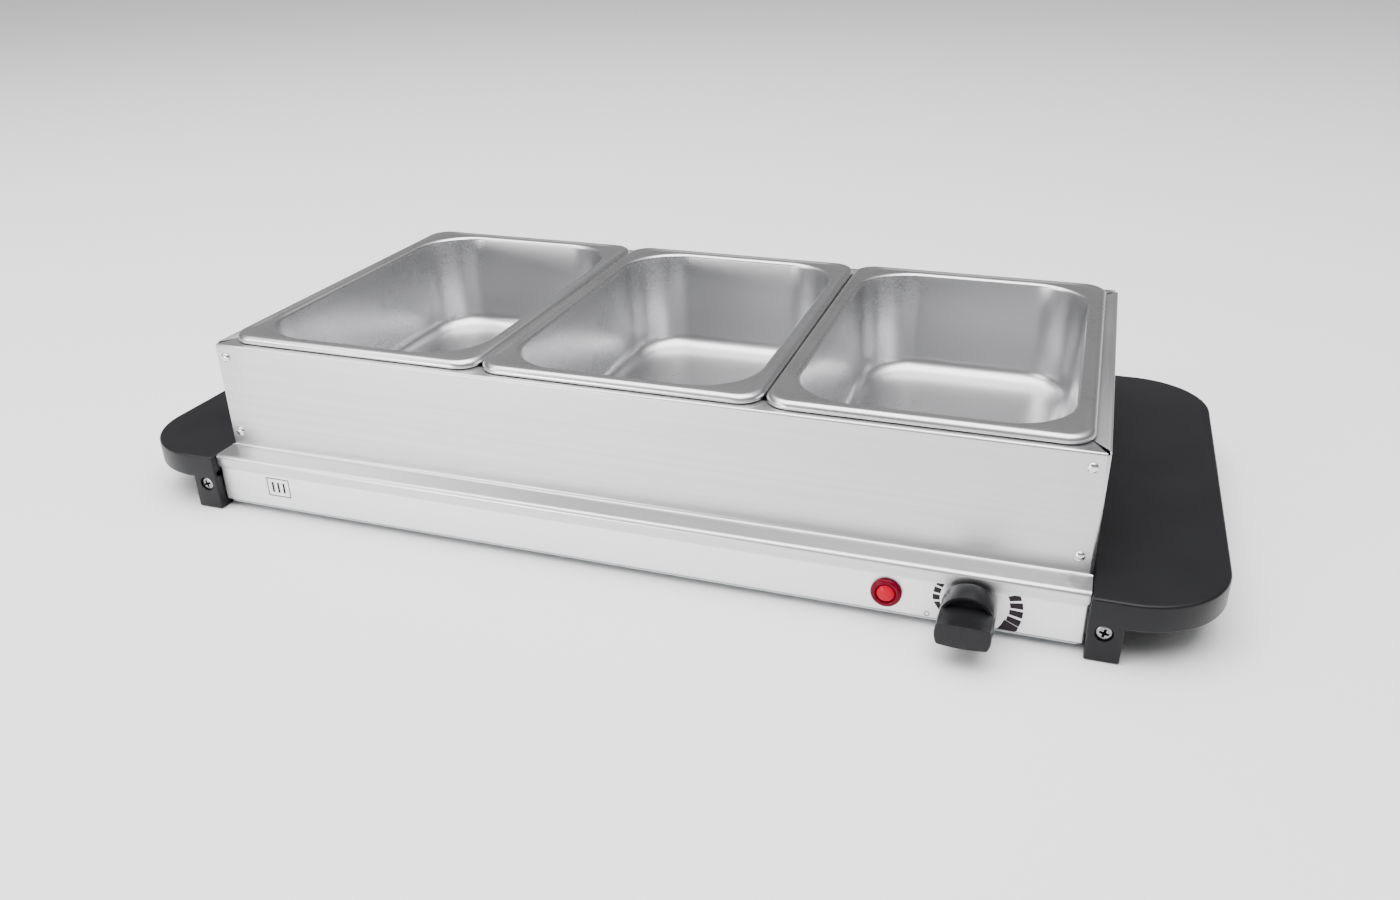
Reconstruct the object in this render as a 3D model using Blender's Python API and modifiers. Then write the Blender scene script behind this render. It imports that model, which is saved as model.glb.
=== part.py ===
"""Electric buffet server: a warming base, a lift-off pan frame and three lift-out food pans.

Metres, +Z up, +X to the right of somebody facing the controls, -Y towards them.
The origin is on the table, at the middle of the whole server's bounding box.
Everything below is placed from the body's centre, which the root empty sets.
"""

import math

import bmesh
import bpy
from mathutils import Matrix, Vector

# Driving dimensions -------------------------------------------------------------------------
SHEET = 0.0008                # steel sheet of the base, frame and pans
GAP = 0.0003                  # clearance left between pieces that touch

BODY_LENGTH = 0.500
BASE_DEPTH = 0.280
BASE_BOTTOM_Z = 0.0035        # underside of the bottom cover
LEDGE_Z = 0.035               # top of the ledge that the frame stands on the base with

FRAME_DEPTH = 0.250
FRAME_HEIGHT = 0.065          # ledge to flange top
LEDGE_WIDTH = 0.0165
LIP_HEIGHT = 0.0079
FRONT_FLANGE = 0.013
END_FLANGE = 0.0085
RIVET_INSET = 0.0075
RIVET_HEIGHTS = (0.0095, 0.057)

PAN_COUNT = 3
PAN_PITCH = 0.162
PAN_LENGTH = 0.242            # front to back, over the rim
PAN_GAP = 0.0009
PAN_RIM_HEIGHT = 0.0043
PAN_FLOOR_Z = 0.038

HANDLE_REACH = 0.064          # how far a handle stands out past the end of the base
HANDLE_DEPTH = 0.290
HANDLE_THICKNESS = 0.0150
HANDLE_CORNER = 0.046
LEG_WIDTH = 0.0165
LEG_DEPTH = 0.024
HANDLE_SCREW_X = 0.258
HANDLE_SCREW_Z = 0.016

KNOB_X = 0.195
KNOB_Z = 0.0185
KNOB_RADIUS = 0.0130
KNOB_BACK = 0.0045            # gap from the base front to the back of the knob
KNOB_SKIRT = 0.0135
KNOB_GRIP = 0.0140
KNOB_GRIP_THICKNESS = 0.0112
LAMP_X = 0.1537
LAMP_Z = 0.0165
LAMP_RADIUS = 0.0080
GLAND_X = 0.170
GLAND_Z = 0.0175
GLAND_REACH = 0.0065          # how far the cord gland stands out behind the base

# Dimensions that follow ---------------------------------------------------------------------
HALF_LENGTH = BODY_LENGTH / 2
HALF_BASE = BASE_DEPTH / 2
HALF_FRAME = FRAME_DEPTH / 2
HALF_HANDLE = HANDLE_DEPTH / 2
FRAME_TOP_Z = LEDGE_Z + FRAME_HEIGHT
PLATE_TOP_Z = LEDGE_Z - SHEET - GAP
SKIRT_BOTTOM_Z = BASE_BOTTOM_Z + SHEET + GAP
PLATE_UNDERSIDE_Z = PLATE_TOP_Z - SHEET
KNOB_FRONT = KNOB_BACK + KNOB_SKIRT + KNOB_GRIP
CENTRE_Y = (KNOB_FRONT - GLAND_REACH) / 2

# Screws, rivets and the parts inside the base ----------------------------------------------
COVER_SCREW_X = 0.205
COVER_SCREW_Y = 0.132
BASE_FLANGE = 0.014
SCREW_SHANK = 0.0016
SCREW_HOLE = 0.0021
HANDLE_SCREW_HEAD = 0.0040
HANDLE_SCREW_HEAD_DEPTH = 0.0020
HANDLE_SCREW_LENGTH = 0.0130
BRACKET_SHEET = 0.0012
BRACKET_LUG_Y = 0.1372
BRACKET_LOW_Z = 0.010
BRACKET_HIGH_Z = 0.026
TAB_WIDTH = 0.016
TRAY_HALF = (0.230, 0.118)
TRAY_BOTTOM_Z = 0.0190
ELEMENT_RADIUS = 0.0033
SPREADER_THICKNESS = 0.0015
SPREADER_BOTTOM_Z = PLATE_UNDERSIDE_Z - GAP - SPREADER_THICKNESS
ELEMENT_Z = SPREADER_BOTTOM_Z - GAP - ELEMENT_RADIUS
ELEMENT_HALF = (0.190, 0.085)
ELEMENT_TAIL_X = 0.030
WIRE_RADIUS = 0.0012

FACING_FRONT = (math.radians(90), 0, 0)
FACING_REAR = (math.radians(-90), 0, 0)
ROUND_STEPS = 20
SMALL_STEPS = 12

# name: colour, roughness, metallic
FINISHES = {
    "brushed_steel": ((0.72, 0.72, 0.73), 0.32, 1.0),
    "satin_pan_steel": ((0.66, 0.66, 0.67), 0.28, 1.0),
    "bright_steel": ((0.78, 0.78, 0.78), 0.20, 1.0),
    "galvanised_steel": ((0.52, 0.54, 0.55), 0.45, 1.0),
    "aluminium": ((0.80, 0.81, 0.82), 0.35, 1.0),
    "black_plastic": ((0.016, 0.016, 0.018), 0.35, 0.0),
    "red_bezel": ((0.30, 0.005, 0.015), 0.30, 0.0),
    "red_lens": ((0.75, 0.01, 0.03), 0.15, 0.0),
    "clear_glass": ((0.85, 0.85, 0.85), 0.05, 0.0),
    "ceramic": ((0.80, 0.78, 0.72), 0.55, 0.0),
    "element_sheath": ((0.22, 0.20, 0.19), 0.50, 1.0),
    "brown_wire": ((0.18, 0.06, 0.02), 0.50, 0.0),
    "blue_wire": ((0.02, 0.08, 0.35), 0.50, 0.0),
    "green_wire": ((0.05, 0.30, 0.06), 0.50, 0.0),
    "black_rubber": ((0.02, 0.02, 0.02), 0.70, 0.0),
}


# Scene and object helpers ------------------------------------------------------------------
def clear_scene():
    for obj in list(bpy.data.objects):
        bpy.data.objects.remove(obj, do_unlink=True)


def new_collection(name):
    collection = bpy.data.collections.new(name)
    bpy.context.scene.collection.children.link(collection)
    return collection


def make_finish(name):
    colour, roughness, metallic = FINISHES[name]
    material = bpy.data.materials.new(name)
    material.use_nodes = True
    shader = material.node_tree.nodes["Principled BSDF"]
    shader.inputs["Base Color"].default_value = (*colour, 1.0)
    shader.inputs["Roughness"].default_value = roughness
    shader.inputs["Metallic"].default_value = metallic
    return material


def new_empty(name, parent=None, location=(0, 0, 0), rotation=(0, 0, 0)):
    empty = bpy.data.objects.new(name, None)
    empty.empty_display_size = 0.02
    PARTS.objects.link(empty)
    empty.parent = parent
    empty.location = location
    empty.rotation_euler = rotation
    return empty


def mesh_from(name, bm):
    mesh = bpy.data.meshes.new(name)
    bm.to_mesh(mesh)
    bm.free()
    return mesh


def new_part(name, mesh, finish, parent, location=(0, 0, 0), rotation=(0, 0, 0)):
    obj = bpy.data.objects.new(name, mesh)
    PARTS.objects.link(obj)
    obj.parent = parent
    obj.location = location
    obj.rotation_euler = rotation
    if not mesh.materials:
        mesh.materials.append(MATERIALS[finish])
    return obj


def smooth(obj, degrees=35):
    obj.data.shade_smooth()
    obj.data.set_sharp_from_angle(angle=math.radians(degrees))
    return obj


def add_bevel(obj, width, segments=2):
    bevel = obj.modifiers.new("edge", "BEVEL")
    bevel.width = width
    bevel.segments = segments
    bevel.limit_method = "ANGLE"
    bevel.angle_limit = math.radians(40)
    return bevel


def add_thickness(obj, thickness, offset=-1.0):
    shell = obj.modifiers.new("sheet", "SOLIDIFY")
    shell.thickness = thickness
    shell.offset = offset
    return shell


def cut(target, bm, operation="DIFFERENCE"):
    """Boolean the closed bodies in bm, given in the target's parent's frame, with target."""
    bmesh.ops.recalc_face_normals(bm, faces=bm.faces)
    name = f"{target.name}_tool_{len(target.modifiers)}"
    tool = bpy.data.objects.new(name, mesh_from(name, bm))
    CUTTERS.objects.link(tool)
    tool.parent = target.parent
    tool.hide_render = True
    tool.display_type = "WIRE"
    boolean = target.modifiers.new(operation.lower(), "BOOLEAN")
    boolean.operation = operation
    boolean.solver = "EXACT"
    boolean.object = tool
    return tool


# Shape helpers -----------------------------------------------------------------------------
def add_box(bm, low, high):
    low, high = Vector(low), Vector(high)
    size = Matrix.Diagonal((*(high - low), 1.0))
    bmesh.ops.create_cube(bm, size=1.0, matrix=Matrix.Translation((low + high) / 2) @ size)


def add_rod(bm, centre, axis, radius, length, steps=16):
    turn = Vector((0, 0, 1)).rotation_difference(Vector(axis)).to_matrix().to_4x4()
    bmesh.ops.create_cone(bm, cap_ends=True, segments=steps, radius1=radius, radius2=radius,
                          depth=length, matrix=Matrix.Translation(centre) @ turn)


def box_part(name, low, high, finish, parent, bevel=0.0):
    bm = bmesh.new()
    add_box(bm, low, high)
    obj = new_part(name, mesh_from(name, bm), finish, parent)
    if bevel:
        add_bevel(obj, bevel)
    return obj


def turned_part(name, profile, finish, parent, location, rotation=(0, 0, 0), closed=False,
                steps=ROUND_STEPS):
    """Spin a profile of (radius, height) about Z; it runs down its outer side."""
    bm = bmesh.new()
    points = [bm.verts.new((radius, 0, height)) for radius, height in profile]
    for start, end in zip(points, points[1:]):
        bm.edges.new((start, end))
    if closed:
        bm.edges.new((points[-1], points[0]))
    obj = new_part(name, mesh_from(name, bm), finish, parent, location, rotation)
    screw = obj.modifiers.new("turn", "SCREW")
    screw.steps = steps
    screw.render_steps = steps
    screw.use_merge_vertices = True
    screw.merge_threshold = 0.00001
    return obj


def rounded_outline(corners, steps=6):
    """Points of a polygon whose corners (x, y, radius), listed anticlockwise, are rounded."""
    points = []
    for index, (x, y, radius) in enumerate(corners):
        corner = Vector((x, y))
        before = (Vector(corners[index - 1][:2]) - corner).normalized()
        after = (Vector(corners[(index + 1) % len(corners)][:2]) - corner).normalized()
        half_angle = before.angle(after) / 2
        centre = corner + (before + after).normalized() * radius / math.sin(half_angle)
        start = corner + before * radius / math.tan(half_angle) - centre
        sweep = math.pi - 2 * half_angle
        for step in range(steps + 1):
            points.append(centre + Matrix.Rotation(sweep * step / steps, 2) @ start)
    return points


def rectangle(half_x, half_y, radius, steps=6):
    corners = ((half_x, -half_y), (half_x, half_y), (-half_x, half_y), (-half_x, -half_y))
    return rounded_outline([(x, y, radius) for x, y in corners], steps)


def slab_mesh(name, outline, low_z, high_z):
    """A flat outline as a filled 2D curve, thickened, then welded into one closed mesh."""
    curve = bpy.data.curves.new(name, "CURVE")
    curve.dimensions = "2D"
    curve.fill_mode = "BOTH"
    curve.extrude = (high_z - low_z) / 2
    spline = curve.splines.new("POLY")
    spline.points.add(len(outline) - 1)
    for point, place in zip(spline.points, outline):
        point.co = (place[0], place[1], 0, 1)
    spline.use_cyclic_u = True
    holder = bpy.data.objects.new(name, curve)
    PARTS.objects.link(holder)
    graph = bpy.context.evaluated_depsgraph_get()
    mesh = bpy.data.meshes.new_from_object(holder.evaluated_get(graph))
    bpy.data.objects.remove(holder, do_unlink=True)
    bpy.data.curves.remove(curve)
    bm = bmesh.new()
    bm.from_mesh(mesh)
    bmesh.ops.remove_doubles(bm, verts=bm.verts, dist=0.00001)
    bmesh.ops.translate(bm, verts=bm.verts, vec=(0, 0, (high_z + low_z) / 2))
    bmesh.ops.recalc_face_normals(bm, faces=bm.faces)
    bm.to_mesh(mesh)
    bm.free()
    mesh.materials.clear()
    return mesh


def tube_part(name, points, radius, finish, parent, steps=3):
    """A round wire or tube along a smooth curve through the points."""
    curve = bpy.data.curves.new(name, "CURVE")
    curve.dimensions = "3D"
    curve.resolution_u = steps
    curve.bevel_depth = radius
    curve.bevel_resolution = 1
    curve.use_fill_caps = True
    spline = curve.splines.new("BEZIER")
    spline.bezier_points.add(len(points) - 1)
    for knot, place in zip(spline.bezier_points, points):
        knot.co = place
        knot.handle_left_type = "AUTO"
        knot.handle_right_type = "AUTO"
    curve.materials.append(MATERIALS[finish])
    obj = bpy.data.objects.new(name, curve)
    PARTS.objects.link(obj)
    obj.parent = parent
    return obj


def open_box(bm, half_x, half_y, low_z, high_z, open_side):
    """A box with its top (+1) or bottom (-1) face left off; returns its rim edges."""
    add_box(bm, (-half_x, -half_y, low_z), (half_x, half_y, high_z))
    lid = [face for face in bm.faces if face.normal.z * open_side > 0.5]
    bmesh.ops.delete(bm, geom=lid, context="FACES")
    return [edge for edge in bm.edges if edge.is_boundary]


# The base ----------------------------------------------------------------------------------
def make_base_shell(root):
    """One folded sheet: the hot plate on top, skirts all round and a return flange below."""
    bm = bmesh.new()
    rim = open_box(bm, HALF_LENGTH, HALF_BASE, SKIRT_BOTTOM_Z, PLATE_TOP_Z, open_side=-1)
    folded = bmesh.ops.extrude_edge_only(bm, edges=rim)
    for vert in (item for item in folded["geom"] if isinstance(item, bmesh.types.BMVert)):
        vert.co.x -= math.copysign(BASE_FLANGE, vert.co.x)
        vert.co.y -= math.copysign(BASE_FLANGE, vert.co.y)
    bmesh.ops.recalc_face_normals(bm, faces=bm.faces)
    shell = new_part("base_shell", mesh_from("base_shell", bm), "brushed_steel", root)
    add_bevel(shell, 0.0015)
    add_thickness(shell, SHEET)
    holes = bmesh.new()
    add_rod(holes, (LAMP_X, -HALF_BASE, LAMP_Z), (0, 1, 0), 0.0064, 0.006)
    add_rod(holes, (KNOB_X, -HALF_BASE, KNOB_Z), (0, 1, 0), 0.0047, 0.006)
    add_rod(holes, (GLAND_X, HALF_BASE, GLAND_Z), (0, 1, 0), 0.0077, 0.006)
    add_rod(holes, (GLAND_X + 0.030, HALF_BASE, GLAND_Z), (0, 1, 0), SCREW_HOLE, 0.006)
    for x in (-COVER_SCREW_X, COVER_SCREW_X):
        for y in (-COVER_SCREW_Y, COVER_SCREW_Y):
            add_rod(holes, (x, y, SKIRT_BOTTOM_Z), (0, 0, 1), SCREW_HOLE, 0.006)
    for x in (-HALF_LENGTH, HALF_LENGTH):
        for y in (-BRACKET_LUG_Y + BRACKET_SHEET / 2, BRACKET_LUG_Y - BRACKET_SHEET / 2):
            half = BRACKET_SHEET / 2 + GAP
            add_box(holes, (x - 0.003, y - half, BRACKET_LOW_Z - GAP),
                    (x + 0.003, y + half, BRACKET_HIGH_Z + GAP))
    cut(shell, holes)
    return smooth(shell)


def make_bottom_cover(root):
    """Flat plate under the base, with two rows of cooling slots."""
    inset = 0.0013
    outline = rectangle(HALF_LENGTH - inset, HALF_BASE - inset, 0.003, 3)
    mesh = slab_mesh("bottom_cover", outline, BASE_BOTTOM_Z, BASE_BOTTOM_Z + SHEET)
    cover = new_part("bottom_cover", mesh, "galvanised_steel", root)
    holes = bmesh.new()
    for x in (-COVER_SCREW_X, COVER_SCREW_X):
        for y in (-COVER_SCREW_Y, COVER_SCREW_Y):
            add_rod(holes, (x, y, BASE_BOTTOM_Z), (0, 0, 1), SCREW_HOLE, 0.006)
    for column in range(-3, 4):
        for y in (-0.070, 0.070):
            centre = Vector((column * 0.055, y, BASE_BOTTOM_Z))
            half = Vector((0.015, 0.0015, 0.003))
            add_box(holes, centre - half, centre + half)
    cut(cover, holes)
    return cover


def screw_profile(head_radius, head_height, shank_radius, length):
    """Pan-head screw, head upwards, with its shank's end tapered."""
    return ((0, head_height), (head_radius * 0.6, head_height), (head_radius, head_height * 0.45),
            (head_radius, 0), (shank_radius, 0), (shank_radius, shank_radius - length),
            (shank_radius * 0.4, -length), (0, -length))


def make_cover_screws(root):
    profile = screw_profile(0.0030, 0.0016, SCREW_SHANK, 0.0065)
    corners = (("front_left", -1, -1), ("front_right", 1, -1), ("rear_left", -1, 1), ("rear_right", 1, 1))
    for place, side_x, side_y in corners:
        turned_part(f"cover_screw_{place}", profile, "bright_steel", root,
                    (side_x * COVER_SCREW_X, side_y * COVER_SCREW_Y, BASE_BOTTOM_Z - GAP),
                    (math.pi, 0, 0), steps=SMALL_STEPS)


def make_heat_tray(root):
    """Open tray under the hot plate that holds the heat in and shields the wiring."""
    half_x, half_y = TRAY_HALF
    bm = bmesh.new()
    open_box(bm, half_x, half_y, TRAY_BOTTOM_Z, PLATE_UNDERSIDE_Z - GAP, open_side=1)
    bmesh.ops.recalc_face_normals(bm, faces=bm.faces)
    tray = new_part("heat_tray", mesh_from("heat_tray", bm), "galvanised_steel", root)
    add_thickness(tray, 0.0005)
    holes = bmesh.new()
    for x in (-ELEMENT_TAIL_X, ELEMENT_TAIL_X):
        add_rod(holes, (x, half_y, ELEMENT_Z), (0, 1, 0), ELEMENT_RADIUS + 0.0008, 0.004)
    cut(tray, holes)
    return tray


def make_heating_element(root):
    """Sheathed tube in one loop, its two cold ends passing out through the tray's rear wall."""
    half_x, half_y = ELEMENT_HALF
    tail_y = TRAY_HALF[1] + 0.006
    loop = rounded_outline([(ELEMENT_TAIL_X, half_y, 0.012), (-half_x, half_y, 0.030),
                            (-half_x, -half_y, 0.030), (half_x, -half_y, 0.030),
                            (half_x, half_y, 0.030)], 4)
    loop = loop[5:]
    ends = rounded_outline([(-ELEMENT_TAIL_X, tail_y + 0.02, 0.001), (-0.1, half_y, 0.001),
                            (-ELEMENT_TAIL_X, half_y, 0.012)], 4)
    left_turn = ends[10:]
    right_turn = [Vector((-point.x, point.y)) for point in reversed(left_turn)]
    path = [Vector((-ELEMENT_TAIL_X, tail_y)), *reversed(left_turn), *loop, *reversed(right_turn),
            Vector((ELEMENT_TAIL_X, tail_y))]
    curve = bpy.data.curves.new("heating_element", "CURVE")
    curve.dimensions = "3D"
    curve.bevel_depth = ELEMENT_RADIUS
    curve.bevel_resolution = 2
    curve.use_fill_caps = True
    spline = curve.splines.new("POLY")
    spline.points.add(len(path) - 1)
    for point, place in zip(spline.points, path):
        point.co = (place.x, place.y, ELEMENT_Z, 1)
    curve.materials.append(MATERIALS["element_sheath"])
    obj = bpy.data.objects.new("heating_element", curve)
    PARTS.objects.link(obj)
    obj.parent = root
    return obj


def make_spreader_plate(root):
    mesh = slab_mesh("heat_spreader", rectangle(0.215, 0.105, 0.008, 3),
                     SPREADER_BOTTOM_Z, SPREADER_BOTTOM_Z + SPREADER_THICKNESS)
    return new_part("heat_spreader", mesh, "aluminium", root)


def make_element_clamps(root):
    """Bent straps that press the element up against the spreader plate."""
    reach = ELEMENT_RADIUS + GAP
    foot_z = SPREADER_BOTTOM_Z - GAP
    drop_z = ELEMENT_Z - reach * 1.02
    section = ((-0.014, foot_z), (-reach * 1.25, foot_z), (-reach * 1.25, ELEMENT_Z),
               (-reach * 0.55, drop_z), (reach * 0.55, drop_z), (reach * 1.25, ELEMENT_Z),
               (reach * 1.25, foot_z), (0.014, foot_z))
    places = (("left", (-ELEMENT_HALF[0], 0), 0), ("right", (ELEMENT_HALF[0], 0), 0),
              ("front_left", (-0.09, -ELEMENT_HALF[1]), 90), ("front_right", (0.09, -ELEMENT_HALF[1]), 90))
    for place, (x, y), angle in places:
        bm = bmesh.new()
        near = [bm.verts.new((across, -0.007, z)) for across, z in section]
        far = [bm.verts.new((across, 0.007, z)) for across, z in section]
        for index in range(len(section) - 1):
            bm.faces.new((near[index], near[index + 1], far[index + 1], far[index]))
        name = f"element_clamp_{place}"
        clamp = new_part(name, mesh_from(name, bm), "galvanised_steel", root, (x, y, 0),
                         (0, 0, math.radians(angle)))
        add_thickness(clamp, 0.0008)


def make_thermostat(root):
    """Round control with a threaded bush through the front skirt, held by a nut outside."""
    inner_face = -HALF_BASE + SHEET + GAP
    profile = ((0, -0.0090), (0.0031, -0.0090), (0.0031, 0.0046), (0.0042, 0.0046), (0.0042, 0),
               (0.0105, 0), (0.0110, -0.0006), (0.0110, -0.0150), (0, -0.0150))
    body = turned_part("thermostat_body", profile, "ceramic", root, (KNOB_X, inner_face, KNOB_Z), FACING_FRONT)
    smooth(body)
    nut = bmesh.new()
    add_rod(nut, (KNOB_X, -HALF_BASE - GAP - 0.0012, KNOB_Z), (0, 1, 0), 0.0068, 0.0024, steps=6)
    ring = new_part("thermostat_nut", mesh_from("thermostat_nut", nut), "bright_steel", root)
    hole = bmesh.new()
    add_rod(hole, (KNOB_X, -HALF_BASE - GAP - 0.0012, KNOB_Z), (0, 1, 0), 0.0047, 0.006)
    cut(ring, hole)
    return body


def make_lamp(root):
    """Neon pilot light: red bezel, lens, glass bulb and the spring clip behind the skirt."""
    at = (LAMP_X, -HALF_BASE, LAMP_Z)
    bezel = ((0.0052, 0.0024), (0.0068, 0.0026), (LAMP_RADIUS, 0.0014), (LAMP_RADIUS, GAP),
             (0.0059, GAP), (0.0059, -0.0150), (0.0052, -0.0150))
    smooth(turned_part("lamp_bezel", bezel, "red_bezel", root, at, FACING_FRONT, closed=True))
    lens = ((0, 0.0036), (0.0022, 0.0034), (0.0039, 0.0028), (0.0049, 0.0016), (0.0049, -0.0010),
            (0, -0.0010))
    smooth(turned_part("lamp_lens", lens, "red_lens", root, at, FACING_FRONT))
    bulb = ((0, -0.0018), (0.0018, -0.0024), (0.0026, -0.0040), (0.0026, -0.0140), (0, -0.0140))
    turned_part("neon_bulb", bulb, "clear_glass", root, at, FACING_FRONT, steps=SMALL_STEPS)
    clip = ((0.0063, -SHEET - GAP), (0.0085, -SHEET - GAP), (0.0085, -0.0026), (0.0063, -0.0026))
    turned_part("lamp_clip", clip, "galvanised_steel", root, at, FACING_FRONT, closed=True)


def make_supply(root):
    """Cord gland in the rear skirt, terminal block, earth screw and thermal cut-out."""
    at = (GLAND_X, HALF_BASE, GLAND_Z)
    gland = ((0.0038, GLAND_REACH), (0.0062, GLAND_REACH), (0.0072, 0.0035), (0.0095, 0.0028),
             (0.0095, GAP), (0.0073, GAP), (0.0073, -SHEET - GAP), (0.0092, -SHEET - GAP),
             (0.0084, -0.0040), (0.0038, -0.0040))
    smooth(turned_part("cord_gland", gland, "black_rubber", root, at, FACING_REAR, closed=True))
    block = box_part("terminal_block", (0.096, 0.1215, BASE_BOTTOM_Z + 0.0025),
                     (0.132, 0.1355, 0.0185), "ceramic", root, bevel=0.001)
    wells = bmesh.new()
    for index in range(3):
        add_rod(wells, (0.103 + index * 0.011, 0.1285, 0.0185), (0, 0, 1), 0.0028, 0.012, SMALL_STEPS)
    cut(block, wells)
    turned_part("earth_screw", screw_profile(0.0031, 0.0018, SCREW_SHANK, 0.0030), "bright_steel", root,
                (GLAND_X + 0.030, HALF_BASE - SHEET - GAP, GLAND_Z), FACING_FRONT, steps=SMALL_STEPS)
    cutout = ((0, 0.009), (0.0012, 0.009), (0.0028, 0.0075), (0.0028, -0.0075), (0.0012, -0.009),
              (0, -0.009))
    turned_part("thermal_cutout", cutout, "bright_steel", root, (-0.060, 0.128, 0.0120),
                (0, math.radians(90), 0), steps=SMALL_STEPS)


def make_wires(root):
    """Flexible leads in the channels between the heat tray and the skirts."""
    side_x, rear_y, front_y, low_z = 0.239, 0.1265, -0.1290, 0.0115
    tail_y = TRAY_HALF[1] + 0.0072
    tube_part("live_wire", ((0.1345, rear_y, low_z), (0.190, rear_y - 0.002, low_z),
                            (0.228, 0.120, low_z), (side_x, 0.100, low_z), (side_x, 0, low_z),
                            (side_x, -0.100, low_z), (0.230, -0.122, low_z),
                            (KNOB_X + 0.0135, front_y, 0.0150)), WIRE_RADIUS, "brown_wire", root)
    tube_part("neutral_wire", ((0.0935, rear_y, low_z), (0.070, rear_y, 0.0140),
                               (ELEMENT_TAIL_X + 0.006, rear_y, 0.0210),
                               (ELEMENT_TAIL_X, tail_y + 0.0020, 0.0240)), WIRE_RADIUS, "blue_wire", root)
    tube_part("cutout_wire", ((-0.0480, 0.1275, 0.0120), (-0.0380, 0.1275, 0.0150),
                              (-ELEMENT_TAIL_X, tail_y + 0.0025, 0.0235)), WIRE_RADIUS, "brown_wire", root)
    tube_part("switched_wire", ((-0.0720, 0.1275, 0.0120), (-0.150, 0.1270, low_z),
                                (-0.226, 0.121, low_z), (-side_x, 0.100, low_z), (-side_x, 0, low_z),
                                (-side_x, -0.100, low_z), (-0.226, -0.122, low_z),
                                (-0.100, front_y, 0.0090), (0.100, front_y, 0.0088),
                                (LAMP_X + 0.012, front_y, 0.0092),
                                (KNOB_X - 0.0132, front_y, 0.0130)), WIRE_RADIUS, "brown_wire", root)
    tube_part("lamp_wire", ((LAMP_X, -0.1235, LAMP_Z + 0.003), (LAMP_X + 0.010, -0.1215, LAMP_Z + 0.008),
                            (KNOB_X - 0.014, -0.1230, 0.0240)), WIRE_RADIUS, "blue_wire", root)
    tube_part("earth_wire", ((GLAND_X - 0.004, 0.1320, GLAND_Z), (GLAND_X + 0.010, 0.1300, GLAND_Z),
                             (GLAND_X + 0.024, 0.1335, GLAND_Z + 0.001)), WIRE_RADIUS, "green_wire", root)


# The handles -------------------------------------------------------------------------------
def make_handle(side, seat):
    """Moulded end handle: a D-shaped shelf on two square legs that are the server's feet."""
    inner_x = HALF_LENGTH + GAP
    outer_x = HALF_LENGTH + HANDLE_REACH
    top_z = LEDGE_Z - 0.0005
    low_z = top_z - HANDLE_THICKNESS
    outline = rounded_outline([(inner_x, -HALF_HANDLE, 0.002), (outer_x, -HALF_HANDLE, HANDLE_CORNER),
                               (outer_x, HALF_HANDLE, HANDLE_CORNER), (inner_x, HALF_HANDLE, 0.002)], 8)
    name = f"{side}_handle"
    handle = new_part(name, slab_mesh(name, outline, low_z, top_z), "black_plastic", seat)
    add_bevel(handle, 0.0025)
    wall = 0.0032
    step_x = inner_x + LEG_WIDTH + wall
    hollow_radius = outer_x - wall - step_x - 0.001
    hollow = rounded_outline([(step_x, -HALF_HANDLE + wall, 0.0005),
                              (outer_x - wall, -HALF_HANDLE + wall, hollow_radius),
                              (outer_x - wall, HALF_HANDLE - wall, hollow_radius),
                              (step_x, HALF_HANDLE - wall, 0.0005)], 6)
    under = bmesh.new()
    under.from_mesh(slab_mesh(name + "_hollow", hollow, low_z - 0.002, top_z - wall))
    cut(handle, under)
    between_legs = bmesh.new()
    add_box(between_legs, (inner_x + wall, -HALF_HANDLE + LEG_DEPTH, low_z - 0.002),
            (step_x + 0.004, HALF_HANDLE - LEG_DEPTH, top_z - wall))
    cut(handle, between_legs)
    legs = bmesh.new()
    for end in (-1, 1):
        near, far = sorted((end * HALF_HANDLE, end * (HALF_HANDLE - LEG_DEPTH)))
        add_box(legs, (inner_x, near, 0), (inner_x + LEG_WIDTH, far, low_z + 0.004))
    cut(handle, legs, "UNION")
    slots = bmesh.new()
    for end in (-1, 1):
        face = end * HALF_HANDLE
        add_rod(slots, (HANDLE_SCREW_X, face, HANDLE_SCREW_Z), (0, 1, 0), HANDLE_SCREW_HEAD + 0.0004,
                2 * (HANDLE_SCREW_HEAD_DEPTH + GAP), ROUND_STEPS)
        lug_y = end * (BRACKET_LUG_Y - BRACKET_SHEET / 2)
        half = BRACKET_SHEET / 2 + GAP
        add_box(slots, (inner_x - 0.002, lug_y - half, BRACKET_LOW_Z - GAP),
                (0.2645, lug_y + half, BRACKET_HIGH_Z + GAP))
    cut(handle, slots)
    bores = bmesh.new()
    for end in (-1, 1):
        middle = end * (HALF_HANDLE - HANDLE_SCREW_LENGTH / 2 - 0.001)
        add_rod(bores, (HANDLE_SCREW_X, middle, HANDLE_SCREW_Z), (0, 1, 0), SCREW_HOLE,
                HANDLE_SCREW_LENGTH + 0.004, SMALL_STEPS)
    cut(handle, bores)
    return smooth(handle)


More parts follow.
